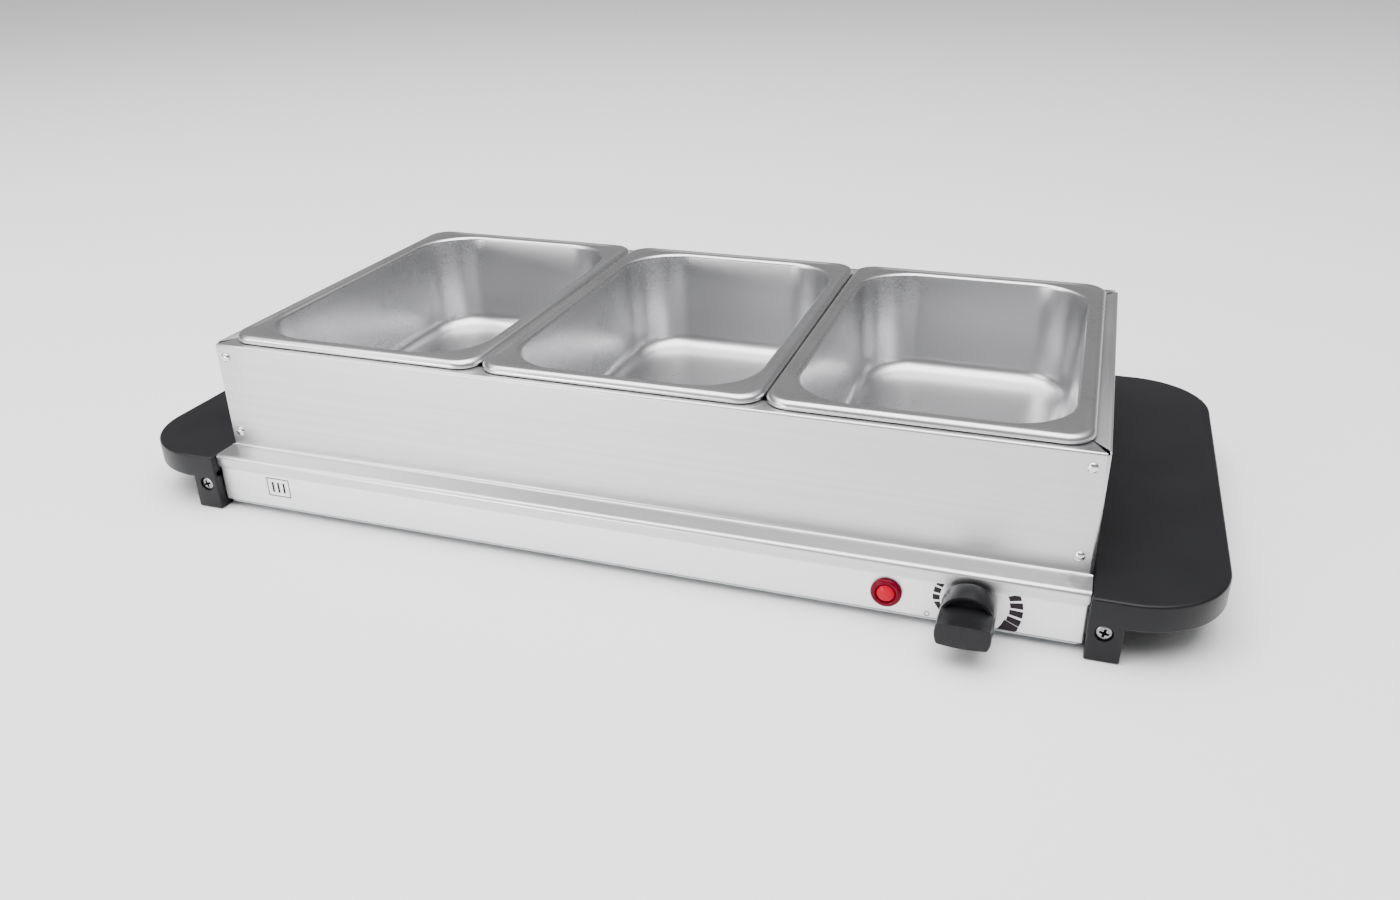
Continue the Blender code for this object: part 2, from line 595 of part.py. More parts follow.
def make_handle_fixings(side, seat):
    """Steel lugs from the base into the legs, and the screws that hold the legs to them."""
    inner_face = HALF_LENGTH - SHEET - GAP
    profile = screw_profile(HANDLE_SCREW_HEAD, HANDLE_SCREW_HEAD_DEPTH - 0.0004, SCREW_SHANK,
                            HANDLE_SCREW_LENGTH - HANDLE_SCREW_HEAD_DEPTH)
    ends = (("front", -1, FACING_FRONT), ("rear", 1, FACING_REAR))
    for end_name, end, facing in ends:
        lug_y = end * BRACKET_LUG_Y
        back_y = end * (BRACKET_LUG_Y - BRACKET_SHEET)
        leaf_y = end * (BRACKET_LUG_Y - 0.018)
        name = f"{side}_{end_name}_lug"
        bm = bmesh.new()
        add_box(bm, (inner_face - BRACKET_SHEET, min(lug_y, leaf_y), BRACKET_LOW_Z),
                (inner_face, max(lug_y, leaf_y), BRACKET_HIGH_Z))
        lug = new_part(name, mesh_from(name, bm), "galvanised_steel", seat)
        arm = bmesh.new()
        add_box(arm, (inner_face - BRACKET_SHEET, min(lug_y, back_y), BRACKET_LOW_Z),
                (0.264, max(lug_y, back_y), BRACKET_HIGH_Z))
        cut(lug, arm, "UNION")
        hole = bmesh.new()
        add_rod(hole, (HANDLE_SCREW_X, lug_y, HANDLE_SCREW_Z), (0, 1, 0), SCREW_HOLE, 0.006, SMALL_STEPS)
        cut(lug, hole)
        seat_y = end * (HALF_HANDLE - HANDLE_SCREW_HEAD_DEPTH)
        turned_part(f"{side}_{end_name}_handle_screw", profile, "bright_steel", seat,
                    (HANDLE_SCREW_X, seat_y, HANDLE_SCREW_Z), facing, steps=SMALL_STEPS)


# The knob ----------------------------------------------------------------------------------
def make_knob(knob_axis):
    """Round skirt with a bar grip right across it, pushed on the thermostat's shaft."""
    back = KNOB_BACK
    skirt_front = KNOB_BACK + KNOB_SKIRT
    bore_end = skirt_front - 0.0020
    profile = ((0, bore_end), (0.0031, bore_end), (0.0031, back + 0.0030), (0.0100, back + 0.0030),
               (0.0100, back), (KNOB_RADIUS, back), (KNOB_RADIUS, skirt_front - 0.0015),
               (KNOB_RADIUS - 0.0015, skirt_front), (0, skirt_front))
    knob = turned_part("knob", tuple(reversed(profile)), "black_plastic", knob_axis, (0, 0, 0), FACING_FRONT,
                       steps=28)
    outline = rounded_outline([(0.0138, -KNOB_GRIP_THICKNESS / 2, 0.0022),
                               (0.0138, KNOB_GRIP_THICKNESS / 2, 0.0022),
                               (-0.0138, KNOB_GRIP_THICKNESS / 2, 0.0022),
                               (-0.0138, -KNOB_GRIP_THICKNESS / 2, 0.0022)], 3)
    grip = bmesh.new()
    grip.from_mesh(slab_mesh("knob_grip", outline, skirt_front - 0.001, KNOB_FRONT))
    bmesh.ops.rotate(grip, verts=grip.verts, cent=(0, 0, 0), matrix=Matrix.Rotation(math.pi / 2, 3, "X"))
    cut(knob, grip, "UNION")
    smooth(knob)
    shaft = ((0, bore_end - 0.0006), (0.0022, bore_end - 0.0006), (0.0027, bore_end - 0.0012),
             (0.0027, -SHEET - 0.0090), (0, -SHEET - 0.0090))
    smooth(turned_part("thermostat_shaft", shaft, "bright_steel", knob_axis, (0, 0, 0), FACING_FRONT,
                       steps=SMALL_STEPS))


# The pan frame -----------------------------------------------------------------------------
def make_long_panel(name, seat):
    """Front or rear wall: mitred flange on top, ledge and lip folded out over the base below."""
    wall_half = HALF_LENGTH - 0.0018
    ledge_y = -HALF_FRAME - LEDGE_WIDTH
    lip_z = LEDGE_Z - LIP_HEIGHT
    rows = ((-HALF_FRAME + FRONT_FLANGE, FRAME_TOP_Z, HALF_LENGTH - END_FLANGE - 0.0008),
            (-HALF_FRAME, FRAME_TOP_Z, wall_half), (-HALF_FRAME, LEDGE_Z, wall_half),
            (ledge_y, LEDGE_Z, HALF_LENGTH), (ledge_y, lip_z + 0.0025, HALF_LENGTH),
            (ledge_y, lip_z, HALF_LENGTH - 0.0025))
    bm = bmesh.new()
    left = [bm.verts.new((-half, y, z)) for y, z, half in rows]
    right = [bm.verts.new((half, y, z)) for y, z, half in rows]
    for index in range(len(rows) - 1):
        bm.faces.new((left[index], left[index + 1], right[index + 1], right[index]))
    panel = new_part(name, mesh_from(name, bm), "brushed_steel", seat)
    add_bevel(panel, 0.0012)
    add_thickness(panel, SHEET)
    holes = bmesh.new()
    for x in (-HALF_LENGTH + RIVET_INSET, HALF_LENGTH - RIVET_INSET):
        for height in RIVET_HEIGHTS:
            add_rod(holes, (x, -HALF_FRAME, LEDGE_Z + height), (0, 1, 0), 0.0020, 0.005, SMALL_STEPS)
    cut(panel, holes)
    return smooth(panel)


def make_end_panel(name, seat):
    """End wall: inward flange on top and a tab folded round each corner behind the long walls."""
    tab_y = HALF_FRAME - SHEET - GAP
    tab_x = HALF_LENGTH - TAB_WIDTH
    low_z = PLATE_TOP_Z + GAP
    tab_top = FRAME_TOP_Z - SHEET - 0.0008
    fold = 0.0020
    path = rounded_outline([(tab_x, -tab_y, 0), (HALF_LENGTH, -tab_y, fold),
                            (HALF_LENGTH, tab_y, fold), (tab_x, tab_y, 0)], 3)[3:-3]
    bm = bmesh.new()
    low = [bm.verts.new((point.x, point.y, low_z)) for point in path]
    high = [bm.verts.new((point.x, point.y, tab_top)) for point in path]
    for index in range(len(path) - 1):
        bm.faces.new((low[index], low[index + 1], high[index + 1], high[index]))
    wall_top = high[4:6]
    flange_edge = HALF_FRAME - FRONT_FLANGE
    outer = [bm.verts.new((HALF_LENGTH, vert.co.y, FRAME_TOP_Z)) for vert in wall_top]
    inner = [bm.verts.new((HALF_LENGTH - END_FLANGE, end * flange_edge, FRAME_TOP_Z)) for end in (-1, 1)]
    bm.faces.new((wall_top[0], wall_top[1], outer[1], outer[0]))
    bm.faces.new((outer[0], outer[1], inner[1], inner[0]))
    panel = new_part(name, mesh_from(name, bm), "brushed_steel", seat)
    add_bevel(panel, 0.0012)
    add_thickness(panel, SHEET)
    holes = bmesh.new()
    for end in (-1, 1):
        for height in RIVET_HEIGHTS:
            add_rod(holes, (HALF_LENGTH - RIVET_INSET, end * tab_y, LEDGE_Z + height), (0, 1, 0), 0.0020,
                    0.005, SMALL_STEPS)
    cut(panel, holes)
    return smooth(panel)


def make_rivets(frame_origin):
    """Domed rivets that join each long wall to the end walls' tabs."""
    inside = 2 * SHEET + 2 * GAP
    profile = ((0, 0.0016), (0.0014, 0.0014), (0.0024, 0.0008), (0.0028, 0), (0.0016, 0),
               (0.0016, -inside - GAP), (0.0024, -inside - GAP), (0.0020, -inside - 0.0012),
               (0, -inside - 0.0012))
    sides = (("front", -1, FACING_FRONT), ("rear", 1, FACING_REAR))
    for side_name, side, facing in sides:
        for end_name, end in (("left", -1), ("right", 1)):
            for level, height in zip(("lower", "upper"), RIVET_HEIGHTS):
                place = (end * (HALF_LENGTH - RIVET_INSET), side * (HALF_FRAME + GAP), LEDGE_Z + height)
                smooth(turned_part(f"rivet_{side_name}_{end_name}_{level}", profile, "bright_steel",
                                   frame_origin, place, facing, steps=SMALL_STEPS))


# The pans ----------------------------------------------------------------------------------
def make_pan(name, pan_origin):
    """Pressed pan: turned-down rim, broad flat with wide inner corners, tapered well."""
    half_x = PAN_PITCH / 2 - PAN_GAP / 2
    half_y = PAN_LENGTH / 2
    rim_low = FRAME_TOP_Z + GAP
    rim_top = FRAME_TOP_Z + PAN_RIM_HEIGHT + GAP
    roll = 0.0018
    mouth = 0.0092
    # inset from the rim's outer edge, corner radius, height
    rings = ((0, 0.0140, rim_low), (0, 0.0140, rim_top - roll), (roll * 0.3, 0.0137, rim_top - roll * 0.3),
             (roll, 0.0125, rim_top), (mouth, 0.0360, rim_top), (mouth + 0.0012, 0.0355, rim_top - 0.0004),
             (mouth + 0.0018, 0.0350, rim_top - 0.0022), (mouth + 0.0050, 0.0320, PAN_FLOOR_Z + 0.0090),
             (mouth + 0.0075, 0.0295, PAN_FLOOR_Z + 0.0028), (mouth + 0.0140, 0.0230, PAN_FLOOR_Z))
    bm = bmesh.new()
    loops = []
    for inset, radius, height in rings:
        outline = rectangle(half_x - inset, half_y - inset, radius, 5)
        loops.append([bm.verts.new((point.x, point.y, height)) for point in outline])
    count = len(loops[0])
    for outer, inner in zip(loops, loops[1:]):
        for index in range(count):
            after = (index + 1) % count
            bm.faces.new((outer[index], outer[after], inner[after], inner[index]))
    bm.faces.new(loops[-1])
    pan = new_part(name, mesh_from(name, bm), "satin_pan_steel", pan_origin)
    add_thickness(pan, SHEET)
    return smooth(pan)


def build():
    root = new_empty("server_centre", None, (0, CENTRE_Y, 0))
    left_seat = new_empty("left_seat", root, rotation=(0, 0, math.pi))
    right_seat = new_empty("right_seat", root)
    make_base_shell(root)
    make_bottom_cover(root)
    make_cover_screws(root)
    make_heat_tray(root)
    make_spreader_plate(root)
    make_heating_element(root)
    make_element_clamps(root)
    make_thermostat(root)
    make_lamp(root)
    make_supply(root)
    make_wires(root)
    for side, seat in (("left", left_seat), ("right", right_seat)):
        make_handle(side, seat)
        make_handle_fixings(side, seat)

    make_knob(new_empty("knob_axis", root, (KNOB_X, -HALF_BASE, KNOB_Z)))

    frame_origin = new_empty("frame_origin", root)
    frame_turned = new_empty("frame_turned", frame_origin, rotation=(0, 0, math.pi))
    make_long_panel("frame_front_panel", frame_origin)
    make_long_panel("frame_rear_panel", frame_turned)
    make_end_panel("frame_right_end", frame_origin)
    make_end_panel("frame_left_end", frame_turned)
    make_rivets(frame_origin)

    for index, name in enumerate(("pan_left", "pan_middle", "pan_right")):
        offset = (index - (PAN_COUNT - 1) / 2) * PAN_PITCH
        make_pan(name, new_empty(f"{name}_origin", frame_origin, (offset, 0, 0)))


clear_scene()
PARTS = new_collection("electric_buffet_server")
CUTTERS = new_collection("cutters")
MATERIALS = {name: make_finish(name) for name in FINISHES}
build()
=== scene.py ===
"""Looks of the electric buffet server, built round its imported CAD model."""
import math

import bmesh
import bpy
from mathutils import Matrix, Vector


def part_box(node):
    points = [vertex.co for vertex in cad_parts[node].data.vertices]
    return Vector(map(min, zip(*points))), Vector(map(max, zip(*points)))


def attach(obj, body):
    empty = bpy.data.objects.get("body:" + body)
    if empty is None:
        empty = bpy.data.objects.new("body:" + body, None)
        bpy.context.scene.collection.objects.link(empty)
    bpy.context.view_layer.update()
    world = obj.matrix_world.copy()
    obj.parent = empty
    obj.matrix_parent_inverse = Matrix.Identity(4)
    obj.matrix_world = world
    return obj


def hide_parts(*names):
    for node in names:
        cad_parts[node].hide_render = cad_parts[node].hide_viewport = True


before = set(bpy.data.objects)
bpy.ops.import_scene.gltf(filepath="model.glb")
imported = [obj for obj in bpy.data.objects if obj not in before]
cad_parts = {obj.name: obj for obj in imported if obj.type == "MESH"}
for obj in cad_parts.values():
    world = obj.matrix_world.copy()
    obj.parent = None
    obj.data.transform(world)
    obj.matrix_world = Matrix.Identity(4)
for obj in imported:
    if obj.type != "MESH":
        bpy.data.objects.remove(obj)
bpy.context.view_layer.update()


# Places and sizes read from the frame -------------------------------------------------------
def middle(node):
    """Middle of a CAD node's box."""
    low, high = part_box(node)
    return (low + high) / 2


shell_low, shell_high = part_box("base_shell")
panel_low, panel_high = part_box("frame_front_panel")
end_low, end_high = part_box("frame_right_end")
handle_low, handle_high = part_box("right_handle")

SHEET = 0.0008
PAN_SHEET = 0.0007
GAP = 0.0003
CENTRE_Y = middle("base_shell").y
HALF_LENGTH = shell_high.x
HALF_BASE = shell_high.y - CENTRE_Y
HALF_FRAME = end_high.y - CENTRE_Y + SHEET + GAP
LEDGE_Y = panel_low.y - CENTRE_Y
FRAME_TOP = panel_high.z
LIP_LOW = panel_low.z
LIP_HEIGHT = 0.0079
LEDGE_Z = LIP_LOW + LIP_HEIGHT
END_FLANGE = 0.0085
FRONT_FLANGE = 0.013
WALL_INSET = 0.0018
BASE_FRONT = CENTRE_Y - HALF_BASE
BASE_REAR = CENTRE_Y + HALF_BASE
KNOB_X, KNOB_Z = middle("knob").x, middle("knob").z
KNOB_REACH = BASE_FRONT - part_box("knob")[0].y
KNOB_RADIUS = 0.0134
LAMP_X, LAMP_Z = middle("lamp_bezel").x, middle("lamp_bezel").z
GLAND_X, GLAND_Z = middle("cord_gland").x, middle("cord_gland").z
HALF_HANDLE = handle_high.y - CENTRE_Y
SCREW_X, SCREW_Z = middle("right_front_handle_screw").x, middle("right_front_handle_screw").z
SCREW_HEAD_RADIUS = 0.0040
SCREW_HEAD_HEIGHT = 0.0016
SCREW_SHANK_RADIUS = 0.0016
RIVET_X = middle("rivet_front_right_lower").x
RIVET_ZS = (middle("rivet_front_right_lower").z, middle("rivet_front_right_upper").z)
COVER_SCREW = middle("cover_screw_front_right")
COVER_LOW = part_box("bottom_cover")[0].z

FRONT = (math.radians(90), 0, 0)
REAR = (math.radians(-90), 0, 0)


# Materials ---------------------------------------------------------------------------------
class Nodes:
    """Adds and links the shader nodes of one material."""

    def __init__(self, name, colour, roughness, metallic):
        self.material = bpy.data.materials.new(name)
        self.material.use_nodes = True
        self.tree = self.material.node_tree
        self.shader = self.tree.nodes["Principled BSDF"]
        self.shader.inputs["Base Color"].default_value = (*colour, 1)
        self.shader.inputs["Roughness"].default_value = roughness
        self.shader.inputs["Metallic"].default_value = metallic

    def add(self, kind, **values):
        node = self.tree.nodes.new(kind)
        for key, value in values.items():
            node.inputs[key.replace("_", " ")].default_value = value
        return node

    def link(self, source, target):
        self.tree.links.new(source, target)

    def noise(self, scale, size=1.0, detail=4.0, roughness=0.6):
        """Noise in object space; scale stretches it along the axes."""
        place = self.add("ShaderNodeTexCoord")
        mapping = self.add("ShaderNodeMapping", Scale=scale)
        self.link(place.outputs["Object"], mapping.inputs["Vector"])
        noise = self.add("ShaderNodeTexNoise", Scale=size, Detail=detail, Roughness=roughness)
        self.link(mapping.outputs["Vector"], noise.inputs["Vector"])
        return noise.outputs["Fac"]

    def remap(self, value, low, high, from_low=0.3, from_high=0.7):
        """Stretch a value to low..high; the default source range is where noise mostly lies."""
        node = self.add("ShaderNodeMapRange")
        node.inputs["From Min"].default_value = from_low
        node.inputs["From Max"].default_value = from_high
        node.inputs["To Min"].default_value = low
        node.inputs["To Max"].default_value = high
        self.link(value, node.inputs["Value"])
        return node.outputs["Result"]

    def tint(self, factor, first, second):
        """Colour the shader between two colours."""
        node = self.tree.nodes.new("ShaderNodeMix")
        node.data_type = "RGBA"
        sockets = [s for s in node.inputs if s.type == "RGBA"]
        for socket, colour in zip(sockets, (first, second)):
            socket.default_value = (*colour, 1)
        self.link(factor, node.inputs[0])
        result = next(s for s in node.outputs if s.type == "RGBA")
        self.link(result, self.shader.inputs["Base Color"])

    def mixed(self, first, second, share):
        """Plain blend of two values."""
        node = self.add("ShaderNodeMix", Factor=share)
        self.link(first, node.inputs["A"])
        self.link(second, node.inputs["B"])
        return node.outputs["Result"]

    def bump(self, height, strength, distance, before=None):
        node = self.add("ShaderNodeBump", Strength=strength, Distance=distance)
        self.link(height, node.inputs["Height"])
        if before:
            self.link(before, node.inputs["Normal"])
        self.link(node.outputs["Normal"], self.shader.inputs["Normal"])
        return node.outputs["Normal"]

    def maths(self, operation, first, second):
        node = self.add("ShaderNodeMath")
        node.operation = operation
        self.link(first, node.inputs[0])
        self.link(second, node.inputs[1])
        return node.outputs["Value"]

    def rough(self, value, low, high):
        self.link(self.remap(value, low, high), self.shader.inputs["Roughness"])


def brushed_steel(name, grain, dark, light, rough=(0.26, 0.40), depth=0.00003, streaks=0.5):
    """Brushed sheet: grain is the noise frequency along each axis, low along the brush lines."""
    nodes = Nodes(name, light, rough[0], 1.0)
    fine = nodes.noise(grain, detail=5.0, roughness=0.75)
    long_lines = nodes.noise(tuple(part * 0.22 for part in grain), detail=3.0)
    clouds = nodes.noise((9, 9, 9), detail=2.0)
    lines = nodes.mixed(fine, long_lines, streaks)
    nodes.tint(lines, dark, light)
    nodes.rough(nodes.mixed(lines, clouds, 0.45), *rough)
    broad = nodes.bump(clouds, 0.10, 0.0006)
    nodes.bump(fine, 0.35, depth, broad)
    return nodes.material


def plastic(name, colour, roughness, grain, depth):
    """Moulded or painted surface: fine grit of the given depth and a soft haze."""
    nodes = Nodes(name, colour, roughness, 0.0)
    grit = nodes.noise((grain, grain, grain), detail=3.0)
    haze = nodes.noise((14, 14, 14), detail=2.0)
    lighter = tuple(min(1.0, part * 1.5 + 0.002) for part in colour)
    nodes.tint(haze, colour, lighter)
    nodes.rough(haze, roughness - 0.05, roughness + 0.07)
    nodes.shader.inputs["Specular IOR Level"].default_value = 0.22
    nodes.bump(grit, 0.35, depth)
    return nodes.material


def metal(name, dark, light, rough, grain):
    """Plain metal with soft mottling."""
    nodes = Nodes(name, light, rough[0], 1.0)
    mottle = nodes.noise((grain, grain, grain), detail=5.0)
    nodes.tint(mottle, dark, light)
    nodes.rough(mottle, *rough)
    nodes.bump(mottle, 0.2, 0.00004)
    return nodes.material


def screw_material(name, colour, rough):
    """Nickel with painted shade: near black inside the cross recess of a head that faces local +Z."""
    nodes = Nodes(name, colour, rough[0], 1.0)
    mottle = nodes.noise((500, 500, 500), detail=5.0)
    place = nodes.add("ShaderNodeTexCoord")
    flat = nodes.add("ShaderNodeMapping", Scale=(1, 1, 0))
    nodes.link(place.outputs["Object"], flat.inputs["Vector"])
    distance = nodes.add("ShaderNodeVectorMath")
    distance.operation = "LENGTH"
    nodes.link(flat.outputs["Vector"], distance.inputs[0])
    height = nodes.add("ShaderNodeSeparateXYZ")
    nodes.link(place.outputs["Object"], height.inputs["Vector"])
    outside = nodes.remap(distance.outputs["Value"], 0, 1, SCREW_HEAD_RADIUS * 0.675,
                          SCREW_HEAD_RADIUS * 0.725)
    above = nodes.remap(height.outputs["Z"], 0, 1, SCREW_HEAD_HEIGHT * 0.625, SCREW_HEAD_HEIGHT * 0.75)
    # Mask that is 1 outside the cross recess; inside the recess the colour is darkened to black as painted
    # shade.
    outside_painted_shade = nodes.maths("MAXIMUM", outside, above)
    shade = nodes.maths("MULTIPLY", outside_painted_shade, nodes.remap(mottle, 0.6, 1.0))
    nodes.tint(shade, (0.004, 0.004, 0.004), colour)
    nodes.rough(mottle, *rough)
    return nodes.material


def lens_material(name, colour, glow):
    """Glossy red plastic with small cells inside it."""
    nodes = Nodes(name, colour, 0.12, 0.0)
    cells = nodes.noise((700, 700, 700), detail=1.0)
    deep = tuple(part * 0.55 for part in colour)
    nodes.tint(cells, deep, colour)
    nodes.bump(cells, 0.25, 0.0001)
    nodes.shader.inputs["Specular IOR Level"].default_value = 0.12
    nodes.shader.inputs["Emission Color"].default_value = (*colour, 1)
    nodes.shader.inputs["Emission Strength"].default_value = glow
    return nodes.material


def glass_material():
    nodes = Nodes("bulb_glass", (0.95, 0.92, 0.88), 0.04, 0.0)
    haze = nodes.noise((200, 200, 200), detail=2.0)
    nodes.rough(haze, 0.02, 0.10)
    nodes.shader.inputs["Transmission Weight"].default_value = 0.9
    return nodes.material


def floor_material():
    nodes = Nodes("pale_floor", (0.93, 0.93, 0.93), 0.55, 0.0)
    soft = nodes.noise((3, 3, 3), detail=2.0)
    nodes.tint(soft, (0.92, 0.92, 0.925), (0.94, 0.94, 0.94))
    return nodes.material


def make_materials():
    along_x, along_y = (7, 1700, 1700), (1700, 7, 1700)
    dark, light = (0.46, 0.46, 0.47), (0.78, 0.78, 0.79)
    made = {
        "steel_x": brushed_steel("brushed_steel_along_x", along_x, dark, light),
        "steel_y": brushed_steel("brushed_steel_along_y", along_y, dark, light),
        "base": brushed_steel("bright_base_steel", along_x, (0.76, 0.76, 0.77), (0.92, 0.92, 0.93),
                              (0.34, 0.48), 0.00001),
        "pan": brushed_steel("satin_pan_steel", (260, 1300, 1300), (0.60, 0.60, 0.61),
                             (0.68, 0.68, 0.69), (0.24, 0.34), 0.000002, 0.2),
        "screw": screw_material("nickel_screws", (0.34, 0.34, 0.35), (0.24, 0.36)),
        "bezel": lens_material("dark_red_bezel", (0.17, 0.0, 0.014), 0.0),
        "lens": lens_material("red_lens", (0.56, 0.0, 0.022), 0.06),
        "glass": glass_material(),
    }
    metals = {
        "bright": ("bright_plated_steel", (0.70, 0.70, 0.70), (0.84, 0.84, 0.84), (0.14, 0.26), 400),
        "galvanised": ("galvanised_sheet", (0.42, 0.44, 0.46), (0.60, 0.62, 0.63), (0.35, 0.55), 90),
        "aluminium": ("aluminium_sheet", (0.72, 0.73, 0.74), (0.84, 0.85, 0.86), (0.28, 0.42), 150),
        "sheath": ("heat_stained_sheath", (0.13, 0.10, 0.09), (0.30, 0.27, 0.25), (0.40, 0.60), 120),
    }
    plastics = {
        "handle": ("satin_black_plastic", (0.006, 0.006, 0.007), 0.36, 1600, 0.00006),
        "knob": ("knob_black_plastic", (0.007, 0.007, 0.008), 0.30, 2200, 0.00003),
        "ink": ("printed_ink", (0.012, 0.008, 0.011), 0.50, 2500, 0.00001),
        "ceramic": ("glazed_ceramic", (0.70, 0.68, 0.62), 0.45, 500, 0.00004),
        "rubber": ("black_rubber", (0.014, 0.014, 0.014), 0.62, 900, 0.00005),
        "brown": ("brown_insulation", (0.16, 0.05, 0.02), 0.45, 800, 0.00003),
        "blue": ("blue_insulation", (0.02, 0.07, 0.30), 0.45, 800, 0.00003),
        "green": ("green_insulation", (0.05, 0.26, 0.06), 0.45, 800, 0.00003),
    }
    made.update({key: metal(*values) for key, values in metals.items()})
    made.update({key: plastic(*values) for key, values in plastics.items()})
    return made


# Mesh helpers ------------------------------------------------------------------------------
def mesh_from(name, bm):
    mesh = bpy.data.meshes.new(name)
    bm.to_mesh(mesh)
    bm.free()
    return mesh


def new_object(name, mesh, location=(0, CENTRE_Y, 0), rotation=(0, 0, 0)):
    obj = bpy.data.objects.new(name, mesh)
    bpy.context.scene.collection.objects.link(obj)
    obj.location = location
    obj.rotation_euler = rotation
    return obj


def bake(obj):
    """Replace an object's mesh by what its modifiers make of it."""
    graph = bpy.context.evaluated_depsgraph_get()
    mesh = bpy.data.meshes.new_from_object(obj.evaluated_get(graph))
    obj.modifiers.clear()
    obj.data = mesh


def bevel(obj, width, segments=4, angle=40):
    """Round the edges that are sharper than the angle."""
    modifier = obj.modifiers.new("edge", "BEVEL")
    modifier.width = width
    modifier.segments = segments
    modifier.limit_method = "ANGLE"
    modifier.angle_limit = math.radians(angle)


def thicken(obj, thickness=SHEET):
    modifier = obj.modifiers.new("sheet", "SOLIDIFY")
    modifier.thickness = thickness
    modifier.offset = -1.0


def boolean(obj, bm, operation="DIFFERENCE"):
    """Cut or join the closed bodies of bm, given in the object's own frame."""
    bmesh.ops.recalc_face_normals(bm, faces=bm.faces)
    tool = new_object("tool", mesh_from("tool", bm), obj.location, obj.rotation_euler)
    modifier = obj.modifiers.new("cut", "BOOLEAN")
    modifier.operation = operation
    modifier.solver = "EXACT"
    modifier.object = tool
    bake(obj)
    bpy.data.objects.remove(tool, do_unlink=True)


def add_box(bm, low, high, rounding=0.0):
    """Add a box between two corners, with rounded edges where asked."""
    low, high = Vector(low), Vector(high)
    size = Matrix.Diagonal((*(high - low), 1.0))
    made = bmesh.ops.create_cube(bm, size=1.0, matrix=Matrix.Translation((low + high) / 2) @ size)
    if rounding:
        edges = {edge for vert in made["verts"] for edge in vert.link_edges}
        bmesh.ops.bevel(bm, geom=list(edges), offset=rounding, segments=3, profile=0.5,
                        affect="EDGES")


def add_rod(bm, centre, axis, radius, length, steps=40, end_radius=None):
    """Add a round bar, or a cone where the radius at the far end differs."""
    turn = Vector((0, 0, 1)).rotation_difference(Vector(axis)).to_matrix().to_4x4()
    bmesh.ops.create_cone(bm, cap_ends=True, segments=steps, radius1=radius,
                          radius2=radius if end_radius is None else end_radius,
                          depth=length, matrix=Matrix.Translation(centre) @ turn)


def rounded_outline(corners, steps=16):
    """Points of a polygon whose corners (x, y, radius), listed anticlockwise, are rounded."""
    points = []
    for index, (x, y, radius) in enumerate(corners):
        corner = Vector((x, y))
        before = (Vector(corners[index - 1][:2]) - corner).normalized()
        after = (Vector(corners[(index + 1) % len(corners)][:2]) - corner).normalized()
        half_angle = before.angle(after) / 2
        centre = corner + (before + after).normalized() * radius / math.sin(half_angle)
        start = corner + before * radius / math.tan(half_angle) - centre
        sweep = math.pi - 2 * half_angle
        for step in range(steps + 1):
            points.append(centre + Matrix.Rotation(sweep * step / steps, 2) @ start)
    return points


def rectangle(half_x, half_y, radius):
    corners = ((half_x, -half_y), (half_x, half_y), (-half_x, half_y), (-half_x, -half_y))
    return rounded_outline([(x, y, radius) for x, y in corners])


def bent_path(points, radii, steps=5):
    """An open path of (a, b) points whose inner corners are rounded, each by its own radius."""
    path = [Vector(points[0])]
    for before, corner, after, radius in zip(points, points[1:], points[2:], radii):
        corner = Vector(corner)
        to_before = (Vector(before) - corner).normalized()
        to_after = (Vector(after) - corner).normalized()
        half_angle = to_before.angle(to_after) / 2
        run = radius / math.tan(half_angle)
        centre = corner + (to_before + to_after).normalized() * radius / math.sin(half_angle)
        start, end = corner + to_before * run - centre, corner + to_after * run - centre
        sweep = math.atan2(start.x * end.y - start.y * end.x, start.dot(end))
        for step in range(steps + 1):
            path.append(centre + Matrix.Rotation(sweep * step / steps, 2) @ start)
    path.append(Vector(points[-1]))
    return path


def prism(bm, outline, low_z, high_z):
    """Add an upright body with a flat outline."""
    bottom = [bm.verts.new((point[0], point[1], low_z)) for point in outline]
    face = bm.faces.new(bottom)
    made = bmesh.ops.extrude_face_region(bm, geom=[face])
    top = [item for item in made["geom"] if isinstance(item, bmesh.types.BMVert)]
    bmesh.ops.translate(bm, verts=top, vec=(0, 0, high_z - low_z))


def turned_mesh(name, profile, steps=64, closed=False):
    """Mesh of (radius, height) points, top to bottom on the outer side, spun about Z."""
    bm = bmesh.new()
    points = [bm.verts.new((radius, 0, height)) for radius, height in profile]
    for start, end in zip(points, points[1:]):
        bm.edges.new((start, end))
    if closed:
        bm.edges.new((points[-1], points[0]))
    obj = new_object(name, mesh_from(name, bm), (0, 0, 0))
    screw = obj.modifiers.new("turn", "SCREW")
    screw.steps = steps
    screw.render_steps = steps
    screw.use_merge_vertices = True
    screw.merge_threshold = 0.000005
    bake(obj)
    mesh = obj.data
    bpy.data.objects.remove(obj, do_unlink=True)
    return mesh


def finish_piece(obj, material, body, replaces=(), angle=30):
    """Give a piece its material, shading and body, and hide the CAD nodes it stands for."""
    obj.data.materials.clear()
    obj.data.materials.append(MATERIALS[material])
    obj.data.shade_smooth()
    obj.data.set_sharp_from_angle(angle=math.radians(angle))
    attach(obj, body)
    if replaces:
        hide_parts(*replaces)


